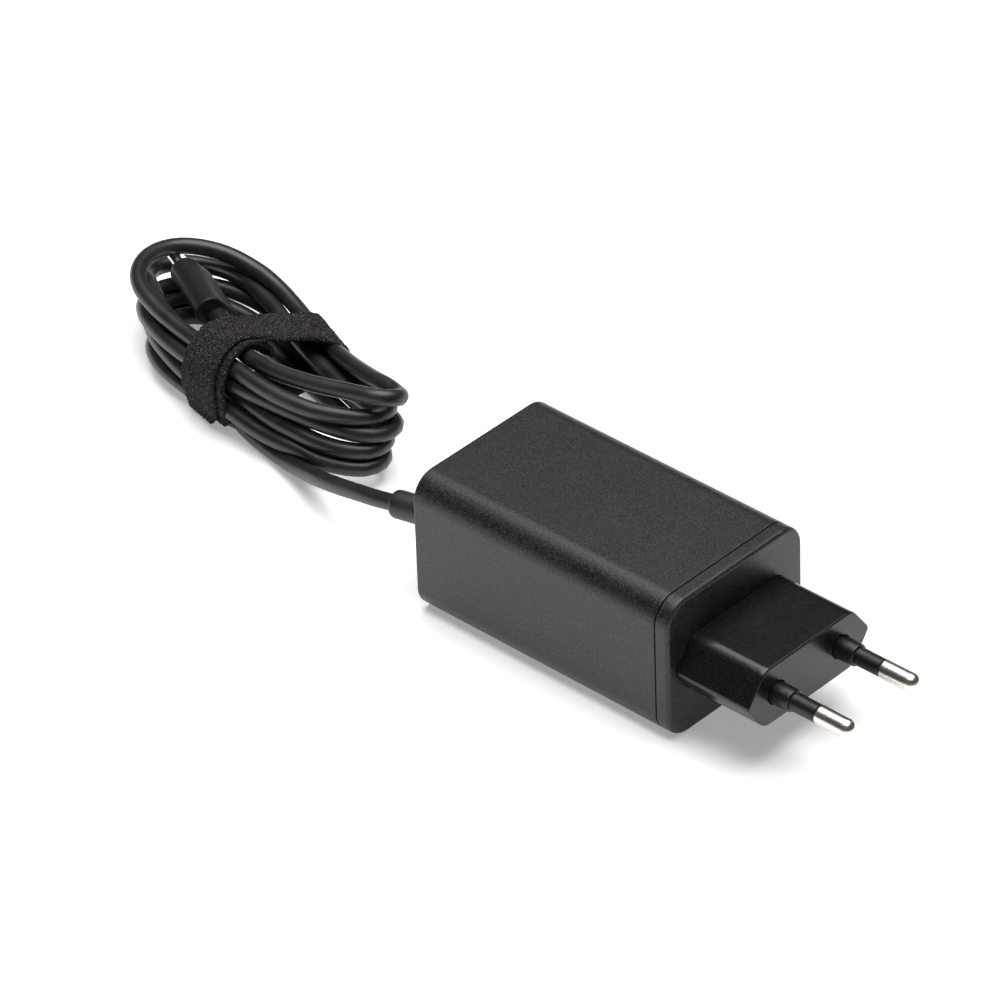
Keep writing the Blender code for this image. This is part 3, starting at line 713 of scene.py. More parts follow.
@dataclass
class Plug:
    """The six-sided plug block with its two sleeved pins."""

    base: float
    face: float
    tip: float
    level: float
    spread: float
    half_width: float = 17.55 * MM
    half_height: float = 6.55 * MM
    half_flat: float = 12.8 * MM
    corner: float = 3.5 * MM
    side_corner: float = 1.2 * MM
    edge: float = 0.4 * MM
    sleeve_length: float = 10.4 * MM
    sleeve_radius: float = 1.9 * MM
    collar_length: float = 4.4 * MM
    collar_radius: float = 2.35 * MM
    pin_radius: float = 2.0 * MM
    bore: float = 1.3 * MM

    def ring(self, x: float, grow: float, steps: int = 8) -> Ring:
        """The block's cross-section at x, grown all round.

        Args:
            x: where it is.
            grow: how far it is grown.
            steps: how many steps to a corner.

        Returns:
            The points.
        """
        wide, high = self.half_width + grow, self.half_height + grow
        flat = self.half_flat + grow * 0.4
        top, side = max(self.corner + grow, 0.5 * MM), max(self.side_corner + grow, 0.3 * MM)
        corners = [(wide, 0, side), (flat, high, top), (-flat, high, top),
                   (-wide, 0, side), (-flat, -high, top), (flat, -high, top)]
        return [(x, y, z + self.level) for y, z in rounded_polygon(corners, steps)]

    def build_block(self, finish: bpy.types.Material) -> bpy.types.Object:
        """The block, with a shallow recess where each pin stands.

        Args:
            finish: its material.

        Returns:
            The block.
        """
        bm = bmesh.new()
        front = [self.ring(self.face - d, -inset) for d, inset in reversed(quarter_round(self.edge, 4))]
        rows = add_rings(bm, [self.ring(self.base - 2.0 * MM, 0.0), self.ring(self.base + 1 * MM, 0.0),
                              self.ring(self.face - 1.4 * MM, 0.0)] + front)
        loops = []
        for side in Side:
            centre = Vector((self.face, side.value * self.spread, self.level))
            recess = turned(bm, [(0, self.collar_radius + 0.25 * MM), (-0.12 * MM, self.collar_radius + 0.16 * MM),
                                 (-0.8 * MM, self.collar_radius + 0.12 * MM)],
                            centre, Vector((1, 0, 0)), Vector((0, 1, 0)), 40)
            loops.append(recess[0])
            fill_between(bm, recess[-1])
        fill_between(bm, rows[-1], *loops)
        fill_between(bm, rows[0])
        made = piece("block", bm, finish, 40)
        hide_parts("plug_block")
        return made

    def build_pins(self, metal: bpy.types.Material, plastic: bpy.types.Material) -> list[bpy.types.Object]:
        """Both pins and their insulating sleeves.

        Args:
            metal: the pins' finish.
            plastic: the sleeves' finish.

        Returns:
            The four pieces.
        """
        made = []
        length = self.tip - self.face
        chamfer, groove = 0.3 * MM, 0.08 * MM
        collar, sleeve, start = self.collar_radius, self.sleeve_radius, self.sleeve_length + 0.12 * MM
        dome = [(length - self.pin_radius * (1 - math.sin(a)), self.pin_radius * math.cos(a))
                for a in (math.radians(5 + 5 * k) for k in range(17))]
        for side in Side:
            name = side.name.lower()
            centre = Vector((self.face, side.value * self.spread, self.level))
            axis, across = Vector((1, 0, 0)), Vector((0, 1, 0))
            bm = bmesh.new()
            rows = turned(bm, [(start, self.bore), (start, self.pin_radius - 0.18 * MM),
                               (start + 0.18 * MM, self.pin_radius), (start + 0.4 * MM, self.pin_radius),
                               (length - self.pin_radius - 0.3 * MM, self.pin_radius),
                               (length - self.pin_radius, self.pin_radius)] + dome, centre, axis, across, 48)
            fill_between(bm, rows[0])
            fill_between(bm, rows[-1])
            pin = piece("pin_" + name, bm, metal, 50)
            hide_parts("contact_pin_" + name)
            bm = bmesh.new()
            profile = [(-0.7 * MM, collar), (self.collar_length - 0.45 * MM, collar),
                       (self.collar_length - 0.12 * MM, collar - 0.10 * MM), (self.collar_length, collar - 0.28 * MM),
                       (self.collar_length + 0.02 * MM, sleeve - groove),
                       (self.collar_length + 0.2 * MM, sleeve - groove),
                       (self.collar_length + 0.3 * MM, sleeve), (self.sleeve_length - 0.12 * MM, sleeve * 0.985),
                       (self.sleeve_length, sleeve * 0.94), (self.sleeve_length, self.bore), (-0.7 * MM, self.bore)]
            rows = turned(bm, profile + profile[:1], centre, axis, across, 40)
            bmesh.ops.remove_doubles(bm, verts=bm.verts, dist=0.001 * MM)
            tube = piece("sleeve_" + name, bm, plastic, 28)
            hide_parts("pin_sleeve_" + name)
            made += [pin, tube]
        return made

    def ring_marks(self, g: Graph, height: Value) -> Value:
        """Adds the fine moulded ring round each pin to the block's surface height.

        Args:
            g: the block's graph.
            height: the height so far.

        Returns:
            The new height.
        """
        side = abs(g.axis(1)) - self.spread
        up = g.axis(2) - self.level
        away = (side * side + up * up) ** 0.5
        front = g.axis(0) > self.face - 0.05 * MM
        return height - front * g.ramp(abs(away - 3.25 * MM), 0.05 * MM, 0.12 * MM, 2.2, 0.0)


# ---------------------------------------------------------------- cord, tie and connector

@dataclass
class OutputCord:
    """The captive cord: straight out of the rear face, then five loose turns held in a hank."""

    radius: float = 1.75 * MM
    spacing: float = 2.0 * MM
    clearance: float = 3.56 * MM
    tightest: float = 5.5 * MM
    rounds: int = 260
    relief_radius: float = 2.95 * MM
    relief_spans: int = 3
    # Stations in millimetres, in the order the cord follows them.
    lead: tuple = (
        (-51.8, -8.6, 15.65), (-56.1, -9.1, 15.2), (-60.5, -9.7, 14.8), (-64.9, -10.25, 14.3),
        (-70.82, -10.25, 12.9), (-74.95, -9.81, 11.8), (-81.2, -8.78, 9.8), (-88.4, -7.13, 7.4),
        (-96.07, -4.63, 4.6), (-103.86, -2.35, 2.6), (-111.54, -0.57, 1.95), (-117.65, 0.98, 1.9), (-121.77, 2.31, 2))
    turns: tuple = (
        ((-128.3, 2.6, 2.9), (-136.4, 1.2, 4.6), (-143.9, 3.7, 4.2), (-151.4, 8.2, 3.6),
         (-156.1, 15.4, 3), (-154.3, 21.9, 2.5), (-146.9, 25.2, 2.2), (-135, 23.7, 2.2), (-122, 20.9, 2.2),
         (-109.1, 17.5, 2.8), (-97.2, 13.5, 3.6), (-89.7, 11.1, 4.4), (-86.4, 7.9, 4.8), (-86.2, 4.6, 5),
         (-87.9, 2.9, 5), (-91.4, 0.9, 5), (-95.7, -0.4, 5), (-100.6, -1.2, 5.1), (-105.7, -1.5, 5.2),
         (-111.4, -1.5, 5.4), (-117.8, -0.7, 5.8)),
        ((-127.5, 0.5, 7.4), (-136.8, 1.8, 8), (-145.1, 5.4, 7.6), (-153.3, 9.7, 6.7),
         (-158.8, 16.4, 5.5), (-157, 24.3, 4.4), (-149.9, 28.4, 3.2), (-136.9, 27.3, 2.3), (-122, 24.4, 2.6),
         (-108.1, 19.9, 5.4), (-97.2, 15.7, 7.3), (-90.3, 12.9, 7.9), (-86.9, 9.3, 8.3), (-86.4, 5.6, 8.4),
         (-88.4, 3.8, 8.4), (-92.1, 1.8, 8.4), (-96.6, 0.7, 8.4), (-101.4, -0.1, 8.4), (-106.9, -0.1, 8.4),
         (-112.7, 0.3, 8.5), (-119.2, 1.2, 8.9)),
        ((-127.5, 4.2, 9.7), (-134, 6.7, 11.1), (-139.9, 7.2, 12.1), (-148.1, 8.9, 12.1),
         (-156.2, 13.2, 10.9), (-163.1, 18.5, 9.9), (-165.2, 22.5, 9.4), (-165, 25.4, 8.9), (-162.9, 29.1, 8.5),
         (-159.1, 31.2, 8.3), (-154.8, 32.7, 8.2), (-149.2, 32.8, 8.1), (-143.1, 31.7, 8.1),
         (-136.2, 28.8, 8.1), (-127.9, 25, 8.2), (-118.6, 21.3, 8.7), (-108.2, 18.3, 9.1), (-98.2, 16.1, 9.7),
         (-89.4, 13.9, 10.7), (-85.8, 11.5, 11.4), (-85.1, 8.5, 11.8), (-86.9, 6.1, 11.9), (-92.7, 3.4, 11.9),
         (-97.7, 2.3, 11.9), (-103, 1.8, 11.9), (-108.4, 1.6, 11.9), (-113.7, 1.2, 11.9), (-119.8, 0.6, 11.9)),
        ((-127.5, 1, 11.8), (-136.3, 2.4, 11.5), (-144.2, 4.8, 10.7), (-151.8, 7.9, 10.1),
         (-158.2, 13.5, 8.4), (-161.3, 19.4, 7.2), (-159.3, 25.8, 6.2), (-153.8, 30.8, 5.2),
         (-145.9, 32.4, 4.6), (-136.2, 30.6, 4.8), (-129, 28.4, 5.3), (-120.5, 25.4, 6.7),
         (-110.6, 21.9, 9), (-100.6, 18.2, 11.3), (-92.8, 15.3, 13.2), (-88, 12.3, 14.4), (-87.2, 9, 14.8),
         (-89.5, 5.9, 15), (-92.9, 3.4, 15.1), (-97.1, 1.7, 15.1), (-101.4, 0.5, 15.1),
         (-106.8, 0.1, 15.1), (-112.3, 0.2, 15.1), (-118.9, 1, 15)),
        ((-128.1, 3.3, 14.5), (-135.7, 4.7, 14.5), (-145.8, 6.6, 14.9), (-151.5, 7.8, 15.4),
         (-156, 9.8, 15.5), (-160.2, 13.5, 15.8), (-162.4, 18.7, 15.8), (-162.5, 23.2, 15.2),
         (-160.7, 27.1, 14.7), (-158.4, 29.2, 14.2), (-154.9, 31.6, 13.4), (-150.5, 32.8, 12.6),
         (-145.9, 33.9, 11), (-138.3, 32.6, 9.6), (-131.2, 30.5, 8.3), (-124.1, 28.2, 9.2), (-120.7, 26.1, 8.4),
         (-112.3, 22.6, 10.4), (-104, 19.4, 12.8), (-95.8, 16.4, 15.1), (-90.3, 14.4, 16.7),
         (-86.1, 12.9, 18.1), (-83.6, 11.5, 19.2), (-83.3, 9.6, 20.2),
         (-91, 6.6, 19.7), (-95.5, 5.7, 19.2), (-99.8, 4.7, 18.7), (-104.7, 4.1, 17.9), (-110.1, 3.7, 17.4),
         (-116.1, 4, 17)))
    tail: tuple = ((-121.5, 5.6, 16), (-126.5, 7.9, 15.1), (-130.1, 9.8, 14.2))
    anchored: int = 12

    def lead_line(self) -> np.ndarray:
        """The cord's first stretch, from the housing to the hank."""
        return catmull(np.array(self.lead) * MM, 8)

    def settle(self, line: np.ndarray, held: int, last: int) -> np.ndarray:
        """Lets the turns push each other apart, stiffly and without stretching.

        Args:
            line: evenly spaced points along the cord.
            held: how many points at the start don't move.
            last: how many at the end don't.

        Returns:
            The settled points.
        """
        here, home = line.copy(), line.copy()
        free = np.ones((len(here), 1))
        free[:held] = 0
        free[-last:] = 0
        rest = np.linalg.norm(np.diff(line, axis=0), axis=1).mean()
        straight = (np.clip((line[:, :1] + 150 * MM) / (8 * MM), 0, 1)
                    * np.clip((-98 * MM - line[:, :1]) / (8 * MM), 0, 1))
        order = np.arange(len(here))
        apart = np.abs(order[:, None] - order[None, :]) > 7
        for _ in range(self.rounds):
            for reach, share in ((1, 0.3), (4, 0.5)):
                stiff = np.zeros_like(here)
                stiff[2 * reach:-2 * reach] = (4 * here[reach:-3 * reach] + 4 * here[3 * reach:-reach]
                                               - here[:-4 * reach] - here[4 * reach:]
                                               - 6 * here[2 * reach:-2 * reach]) / 16
                here += free * share * stiff * (1.0 if reach == 1 else straight)
            for reach in (1, 3):
                sag = here[reach:-reach] - (here[2 * reach:] + here[:-2 * reach]) / 2
                size = np.linalg.norm(sag, axis=1)[:, None] + 1e-9
                over = np.clip(size - (reach * rest) ** 2 / (2 * self.tightest), 0, None) / size
                here[reach:-reach] -= free[reach:-reach] * sag * over * 0.35
            here += free * 0.03 * (home - here)
            between = here[:, None, :] - here[None, :, :]
            gap = np.sqrt((between ** 2).sum(2)) + 1e-9
            touching = apart & (gap < self.clearance)
            push = (np.where(touching, (self.clearance - gap) / gap, 0)[:, :, None] * between).sum(1)
            here += free * push / np.maximum(touching.sum(1), 1)[:, None] * 0.5
            here[:, 2] = np.maximum(here[:, 2], self.radius + 0.02 * MM)
            for _ in range(2):
                step = np.diff(here, axis=0)
                long = np.linalg.norm(step, axis=1)[:, None]
                shift = step * (long - rest) / long * 0.25
                here[:-1] += shift * free[:-1]
                here[1:] -= shift * free[1:]
        return here

    def route(self) -> np.ndarray:
        """The whole centreline, from inside the strain relief to the connector.

        Returns:
            Its points, in metres.
        """
        stations = list(self.lead) + [point for turn in self.turns for point in turn] + list(self.tail)
        line = evenly(catmull(np.array(stations) * MM, 8), self.spacing)
        held = int(np.argmin(np.linalg.norm(line - np.array(self.lead[self.anchored]) * MM, axis=1)))
        settled = self.settle(line, held, 4)
        start = int(np.argmin(np.linalg.norm(settled - np.array(self.lead[self.relief_spans]) * MM, axis=1)))
        return settled[start - 1:]

    def build_cord(self, line: np.ndarray, finish: bpy.types.Material) -> bpy.types.Object:
        """The cord as one round curve along a line of points.

        Args:
            line: the centreline.
            finish: its material.

        Returns:
            The cord.
        """
        curve = bpy.data.curves.new("cord", "CURVE")
        curve.dimensions = "3D"
        curve.bevel_depth = self.radius
        curve.bevel_resolution = 7
        curve.use_fill_caps = True
        spline = curve.splines.new("POLY")
        spline.points.add(len(line) - 1)
        for spot, point in zip(spline.points, line):
            spot.co = (*point, 1.0)
        spline.use_smooth = True
        made = bpy.data.objects.new("cord", curve)
        curve.materials.append(finish)
        bpy.context.scene.collection.objects.link(made)
        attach(made, ROOT)
        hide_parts("output_cord", "cord_hank")
        return made

    def build_relief(self, finish: bpy.types.Material) -> bpy.types.Object:
        """The strain relief: a moulded sleeve that follows the cord out of the housing.

        Args:
            finish: its material.

        Returns:
            The sleeve.
        """
        line = self.lead_line()
        count = self.relief_spans * 8
        stations = [(0.0, 1.0)] + [(k / 20, 1.0) for k in range(1, 19)]
        stations += [(0.93, 0.998), (0.96, 0.985), (0.98, 0.955), (0.993, 0.905), (1.0, 0.83), (1.0, 0.66),
                     (0.99, 0.645), (0.86, 0.64)]
        bm = bmesh.new()
        rings = []
        flat = Vector((-1, 0, 0))
        for k, (part, scale) in enumerate(stations):
            place = part * count
            i = min(int(place), count - 1)
            centre = Vector(line[i]).lerp(Vector(line[i + 1]), place - i)
            direction = Vector(line[i + 1] - line[i]).normalized() if k else flat
            if k == 0:
                centre.x += 1.6 * MM
            across = direction.cross(Vector((0, 0, 1))).normalized()
            up = across.cross(direction).normalized()
            rings.append([tuple(centre + (across * math.cos(a) + up * math.sin(a)) * self.relief_radius * scale)
                          for a in (j * math.tau / 32 for j in range(32))])
        rows = add_rings(bm, rings)
        fill_between(bm, rows[0])
        bm.faces.new(rows[-1])
        made = piece("relief", bm, finish, 50)
        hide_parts("strain_relief")
        return made


@dataclass
class Tie:
    """The hook-and-loop tie: a band round the hank, lapped over itself in front, its first end tucked in."""

    thick: float = 0.9 * MM
    grain: float = 0.34 * MM
    fuzz: float = 0.09 * MM
    # (along, across, up) stations in millimetres on the outer face, from the floor in front up and over.
    left: tuple = (
        (-132.9, 2, 0.89), (-133.3, 1, 2.4), (-133.3, 0, 5.1), (-133.3, -0.6, 8.3), (-133.3, -0.6, 10.8),
        (-133.3, 0.3, 12.9), (-133.3, 1.6, 14.8), (-133.3, 3, 16), (-133.3, 4.9, 16.8), (-133.3, 7.4, 17.1),
        (-133.3, 10.1, 16.8), (-133.3, 12.9, 16.2), (-133.1, 15.5, 15.3), (-132.6, 19.4, 13.9),
        (-131.8, 22.8, 12.7), (-130.8, 25.9, 11.6), (-129.2, 28.6, 11), (-127.8, 30.3, 10.9), (-127, 31.6, 10.2),
        (-126.6, 32.5, 8.6), (-126.8, 33, 6.3), (-128.5, 33, 2.8), (-130.3, 31.3, 0.3), (-131.5, 23.8, 0.1),
        (-132.3, 11.9, 0.1), (-132.6, 5, 0.2))
    right: tuple = (
        (-122.2, -1, 1.5), (-121.1, -1.4, 3.6), (-120.1, -2.9, 6.6), (-120.1, -3.2, 9.9), (-120.1, -3.3, 12.9),
        (-120.1, -2.4, 15.5), (-120.1, -0.9, 17.7), (-120.1, 1.3, 19.2), (-120.1, 4.2, 20), (-120.1, 7.2, 19.3),
        (-120.1, 11.2, 17.9), (-119.8, 13.7, 16.6), (-118.9, 15.6, 16), (-118, 17.8, 15.5), (-117.1, 19.8, 14.9),
        (-115.8, 21.5, 14.3), (-114.4, 23, 13.4), (-113.2, 24.3, 12.6), (-112.4, 25.3, 11.4),
        (-113.3, 26.8, 8.8), (-115.6, 27.8, 5.2), (-117.7, 27.1, 2.2), (-119.4, 24.3, 0.3), (-120.1, 17.9, 0.1),
        (-122.9, 8.4, 0.1), (-123.1, 1.4, 0.3))
    lap_left: tuple = (
        (-133.4, 0.3, 0.89), (-133.4, -0.1, 2.1), (-133.4, -0.9, 5.1), (-133.4, -1.5, 8.3), (-133.4, -1.5, 10.8),
        (-133.4, -0.5, 13.3), (-133.4, 0.8, 15.2), (-133.4, 2.4, 16.7), (-133.4, 4.6, 17.7),
        (-133.4, 7.3, 18), (-133.4, 10.1, 17.7), (-133.4, 12.9, 17))
    lap_right: tuple = (
        (-125.4, -1.9, 1.3), (-123.8, -2, 3.3), (-122.3, -3.6, 6.6), (-122.2, -3.9, 9.9),
        (-122.2, -4, 12.9), (-122.2, -3.1, 15.7), (-122.2, -1.5, 18.1), (-122.1, 1, 19.8),
        (-121.7, 4.2, 20.7), (-121, 7.4, 20.1), (-120.4, 9.9, 19.1), (-120.3, 12.5, 17.9))
    tuck_left: tuple = (
        (-130.1, 4.6, 17.9), (-130.1, 7.2, 17.8), (-130.1, 9.3, 16.8), (-130.1, 10.9, 15.1), (-130.1, 11.7, 13.1))
    tuck_right: tuple = (
        (-120.3, 4.6, 19.1), (-120.3, 7.6, 18.7), (-120.3, 9.7, 17.6), (-120.3, 11.5, 15.8), (-120.3, 12.2, 14.1),
        (-120.3, 12.2, 12.8))

    @staticmethod
    def outline(stations: Sequence[Triple], count: int, closed: bool) -> np.ndarray:
        """Evenly spaced points on a smooth line through stations.

        Args:
            stations: the places it passes, in millimetres.
            count: how many points.
            closed: whether it comes back to its start.

        Returns:
            The points, in metres.
        """
        points = np.array(stations) * MM
        if closed:
            points = np.vstack([points[-2:], points, points[:2]])
        line = catmull(points, 12)
        if closed:
            line = line[24:-23]
        lengths = np.r_[0, np.cumsum(np.linalg.norm(np.diff(line, axis=0), axis=1))]
        wanted = np.linspace(0, lengths[-1], count + closed)
        spread = np.stack([np.interp(wanted, lengths, line[:, i]) for i in range(3)], 1)
        return spread[:-1] if closed else spread

    def cloth(self, name: str, left: Sequence[Triple], right: Sequence[Triple], closed: bool,
              finish: bpy.types.Material, seed: int) -> bpy.types.Object:
        """A thick strip between two edges, its faces roughened by loops.

        Args:
            name: the piece's name.
            left: stations along its left edge.
            right: stations along its right edge.
            closed: whether the strip is a ring.
            finish: its material.
            seed: which roughness.

        Returns:
            The strip.
        """
        rng = np.random.RandomState(seed)
        long = float(np.linalg.norm(np.diff(np.array(right), axis=0), axis=1).sum()) * MM
        count = int(long / self.grain)
        edges = [self.outline(stations, count, closed) for stations in (left, right)]
        wide = max(6, int(round(float(np.linalg.norm(edges[1] - edges[0], axis=1).mean()) / self.grain)))
        shares = np.linspace(0, 1, wide + 1)[:, None, None]
        grid = edges[0][None] * (1 - shares) + edges[1][None] * shares
        ahead = np.roll(grid, -1, axis=1) - np.roll(grid, 1, axis=1)
        if not closed:
            ahead[:, 0] = grid[:, 1] - grid[:, 0]
            ahead[:, -1] = grid[:, -1] - grid[:, -2]
        aside = np.broadcast_to((edges[1] - edges[0])[None], grid.shape)
        normal = np.cross(aside, ahead)
        normal /= np.linalg.norm(normal, axis=-1)[..., None]
        faces = []
        for depth, sign in ((0.0, 1.0), (self.thick, -1.0)):
            rough = rng.normal(0, 1, (wide + 1, count))
            rough = np.clip((rough + np.roll(rough, 1, 1) * 0.4) * self.fuzz, -2 * self.fuzz, 1.8 * self.fuzz)
            face = grid - normal * (depth - sign * rough)[..., None]
            face[..., 0] += rng.normal(0, 0.05 * MM, (wide + 1, count))
            face[..., 2] = np.maximum(face[..., 2], 0.03 * MM)
            faces.append(face)
        bm = bmesh.new()
        outer, inner = ([[bm.verts.new(point) for point in line] for line in face] for face in faces)
        last = count if closed else count - 1
        for j in range(last):
            k = (j + 1) % count
            for i in range(wide):
                for side in (outer, inner):
                    bm.faces.new((side[i][j], side[i + 1][j], side[i + 1][k], side[i][k]))
            for i in (0, wide):
                bm.faces.new((outer[i][j], outer[i][k], inner[i][k], inner[i][j]))
        if not closed:
            for j in (0, count - 1):
                for i in range(wide):
                    bm.faces.new((outer[i][j], outer[i + 1][j], inner[i + 1][j], inner[i][j]))
        return piece(name, bm, finish, 180)

    def build(self, finish: bpy.types.Material) -> list[bpy.types.Object]:
        """The band, its lapped outer end and its tucked inner end.

        Args:
            finish: their material.

        Returns:
            The three pieces, the band first.
        """
        band = self.cloth("tie_band", self.left, self.right, True, finish, 3)
        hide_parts("cord_strap")
        lap = self.cloth("tie_lap", self.lap_left, self.lap_right, False, finish, 4)
        tuck = self.cloth("tie_tuck", self.tuck_left, self.tuck_right, False, finish, 5)
        return [band, lap, tuck]


@dataclass
class Connector:
    """The small reversible connector on the cord's far end."""

    rear: Vector = field(default_factory=lambda: Vector((-137.9, 14, 13.6)) * MM)
    front: Vector = field(default_factory=lambda: Vector((-156, 23.8, 11.3)) * MM)
    roll: float = math.radians(50)
    wide: float = 10.2 * MM
    thick: float = 6.2 * MM

    def axes(self) -> tuple[Vector, Vector, Vector]:
        """Unit vectors along the connector, across its width and through its thickness.

        Returns:
            The three vectors.
        """
        along = (self.front - self.rear).normalized()
        level = Vector((0, 0, 1)).cross(along).normalized() * -1
        up = level.cross(along).normalized()
        if up.z < 0:
            up.negate()
        width = (level * math.cos(self.roll) - up * math.sin(self.roll)).normalized()
        return along, width, along.cross(width).normalized()

    def ring(self, distance: float, wide: float, thick: float, steps: int = 10) -> Ring:
        """A cross-section with round narrow sides, at a distance in front of the rear.

        Args:
            distance: how far in front.
            wide: its width.
            thick: its thickness.
            steps: how many steps to a corner.

        Returns:
            The points.
        """
        along, across, through = self.axes()
        centre = self.rear + along * distance
        outline = rounded_rectangle(wide, thick, thick / 2 - 0.02 * MM, steps)
        return [tuple(centre + across * a + through * b) for a, b in outline]

    def build_body(self, finish: bpy.types.Material) -> bpy.types.Object:
        """The overmould: nearly square behind, well rounded in front.

        Args:
            finish: its material.

        Returns:
            The overmould.
        """
        length = (self.front - self.rear).length
        bm = bmesh.new()
        rear = [self.ring(d, self.wide - 2 * inset, self.thick - 2 * inset)
                for d, inset in quarter_round(0.35 * MM, 4)]
        front = [self.ring(length - d, self.wide - 2 * inset, self.thick - 2 * inset)
                 for d, inset in reversed(quarter_round(1.5 * MM, 7))]
        rows = add_rings(bm, rear + [self.ring(2 * MM, self.wide, self.thick),
                                     self.ring(length - 3 * MM, self.wide, self.thick)] + front)
        bm.faces.new(rows[0])
        bm.faces.new(rows[-1])
        made = piece("overmould", bm, finish)
        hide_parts("connector_body")
        return made

    def build_relief(self, finish: bpy.types.Material) -> bpy.types.Object:
        """The short sleeve between the cord and the overmould.

        Args:
            finish: its material.

        Returns:
            The sleeve.
        """
        along, across, _ = self.axes()
        bm = bmesh.new()
        profile = [(0.2 * MM, 2.25 * MM), (-5.3 * MM, 2.2 * MM), (-5.7 * MM, 2.15 * MM), (-5.95 * MM, 2.0 * MM),
                   (-6.0 * MM, 1.85 * MM), (-5.0 * MM, 1.8 * MM)]
        rows = turned(bm, profile, self.rear, along, across, 32)
        bm.faces.new(rows[0])
        bm.faces.new(rows[-1])
        made = piece("overmould_neck", bm, finish, 50)
        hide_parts("connector_relief")
        return made

    def build_shell(self, metal: bpy.types.Material) -> bpy.types.Object:
        """The drawn metal shell with its rolled mouth.

        Args:
            metal: its plating.

        Returns:
            The shell.
        """
        length = (self.front - self.rear).length
        start, end, wall = length - 0.3 * MM, length + 7.0 * MM, 0.3 * MM
        wide, thick = 8.3 * MM, 2.5 * MM
        bm = bmesh.new()
        rings = [self.ring(start, wide, thick), self.ring(end - 0.3 * MM, wide, thick),
                 self.ring(end - 0.09 * MM, wide - 0.12 * MM, thick - 0.12 * MM),
                 self.ring(end, wide - 0.3 * MM, thick - 0.3 * MM),
                 self.ring(end - 0.06 * MM, wide - 1.8 * wall, thick - 1.8 * wall),
                 self.ring(end - 0.3 * MM, wide - 2 * wall, thick - 2 * wall),
                 self.ring(length + 1.0 * MM, wide - 2 * wall, thick - 2 * wall)]
        rows = add_rings(bm, rings)
        bm.faces.new(rows[0])
        bm.faces.new(rows[-1])
        made = piece("connector_mouth", bm, metal, 50)
        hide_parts("connector_shell")
        return made

    def build_contacts(self, name: str, side: float, metal: bpy.types.Material) -> bpy.types.Object:
        """One row of spring contacts along an inner face of the mouth.

        Args:
            name: the piece's name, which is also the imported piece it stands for.
            side: 1.0 for the upper row, -1.0 for the lower.
            metal: their plating.

        Returns:
            The row.
        """
        along, across, through = self.axes()
        length = (self.front - self.rear).length
        bm = bmesh.new()
        for place in range(-5, 6, 2):
            rows = []
            for depth, height in ((1.2, 0.86), (2.6, 0.84), (4.6, 0.62), (5.4, 0.6), (5.9, 0.74)):
                centre = (self.rear + along * (length + depth * MM) + across * (place * 0.5 * MM)
                          + through * (side * height * MM))
                rows.append([tuple(centre + across * a + through * b) for a, b in rounded_rectangle(
                    0.3 * MM, 0.12 * MM, 0.05 * MM, 3)])
            rings = add_rings(bm, rows)
            bm.faces.new(rings[0])
            bm.faces.new(rings[-1])
        made = piece(name, bm, metal, 50)
        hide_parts(name)
        return made


# ---------------------------------------------------------------- studio

@dataclass(frozen=True)
class Viewpoint:
    """Where the camera stands: the way back to it, its roll and the point it looks at."""

    azimuth: float = 44.052
    elevation: float = 35.662
    roll: float = -2.157
    distance: float = 1.285307
    across: float = -0.045123
    up: float = 0.037588
    centre_x: float = 0.0141
    lens: float = 242.94

    def place(self) -> bpy.types.Object:
        """Makes the camera and hands the scene over to it.

        Returns:
            The camera.
        """
        az, el, roll = (math.radians(v) for v in (self.azimuth, self.elevation, self.roll))
        back = Vector((math.sin(az) * math.cos(el), -math.cos(az) * math.cos(el), math.sin(el)))
        level = Vector((math.cos(az), math.sin(az), 0))
        upright = back.cross(level)
        right = level * math.cos(roll) + upright * math.sin(roll)
        top = upright * math.cos(roll) - level * math.sin(roll)
        spot = Vector((self.centre_x, 0, 0)) + back * self.distance + right * self.across + top * self.up
        data = bpy.data.cameras.new("camera")
        data.sensor_width = 36.0
        data.lens = self.lens
        data.clip_start, data.clip_end = 0.05, 20.0
        made = bpy.data.objects.new("camera", data)
        turn = Matrix((right, top, back)).transposed()
        made.matrix_world = Matrix.Translation(spot) @ turn.to_4x4()
        bpy.context.scene.collection.objects.link(made)
        bpy.context.scene.camera = made
        return made


@dataclass(frozen=True)
class Lamp:
    """A soft square lamp aimed at a point."""

    name: str
    place: Triple
    aim: Triple
    size: float
    power: float
    colour: Triple = (1.0, 1.0, 1.0)

    def hang(self) -> bpy.types.Object:
        """Makes the lamp.

        Returns:
            The lamp.
        """
        data = bpy.data.lights.new(self.name, "AREA")
        data.shape = "SQUARE"
        data.size = self.size
        data.energy = self.power
        data.color = self.colour
        made = bpy.data.objects.new(self.name, data)
        made.location = self.place
        made.rotation_mode = "QUATERNION"
        made.rotation_quaternion = (Vector(self.place) - Vector(self.aim)).to_track_quat("Z", "Y")
        bpy.context.scene.collection.objects.link(made)
        return made


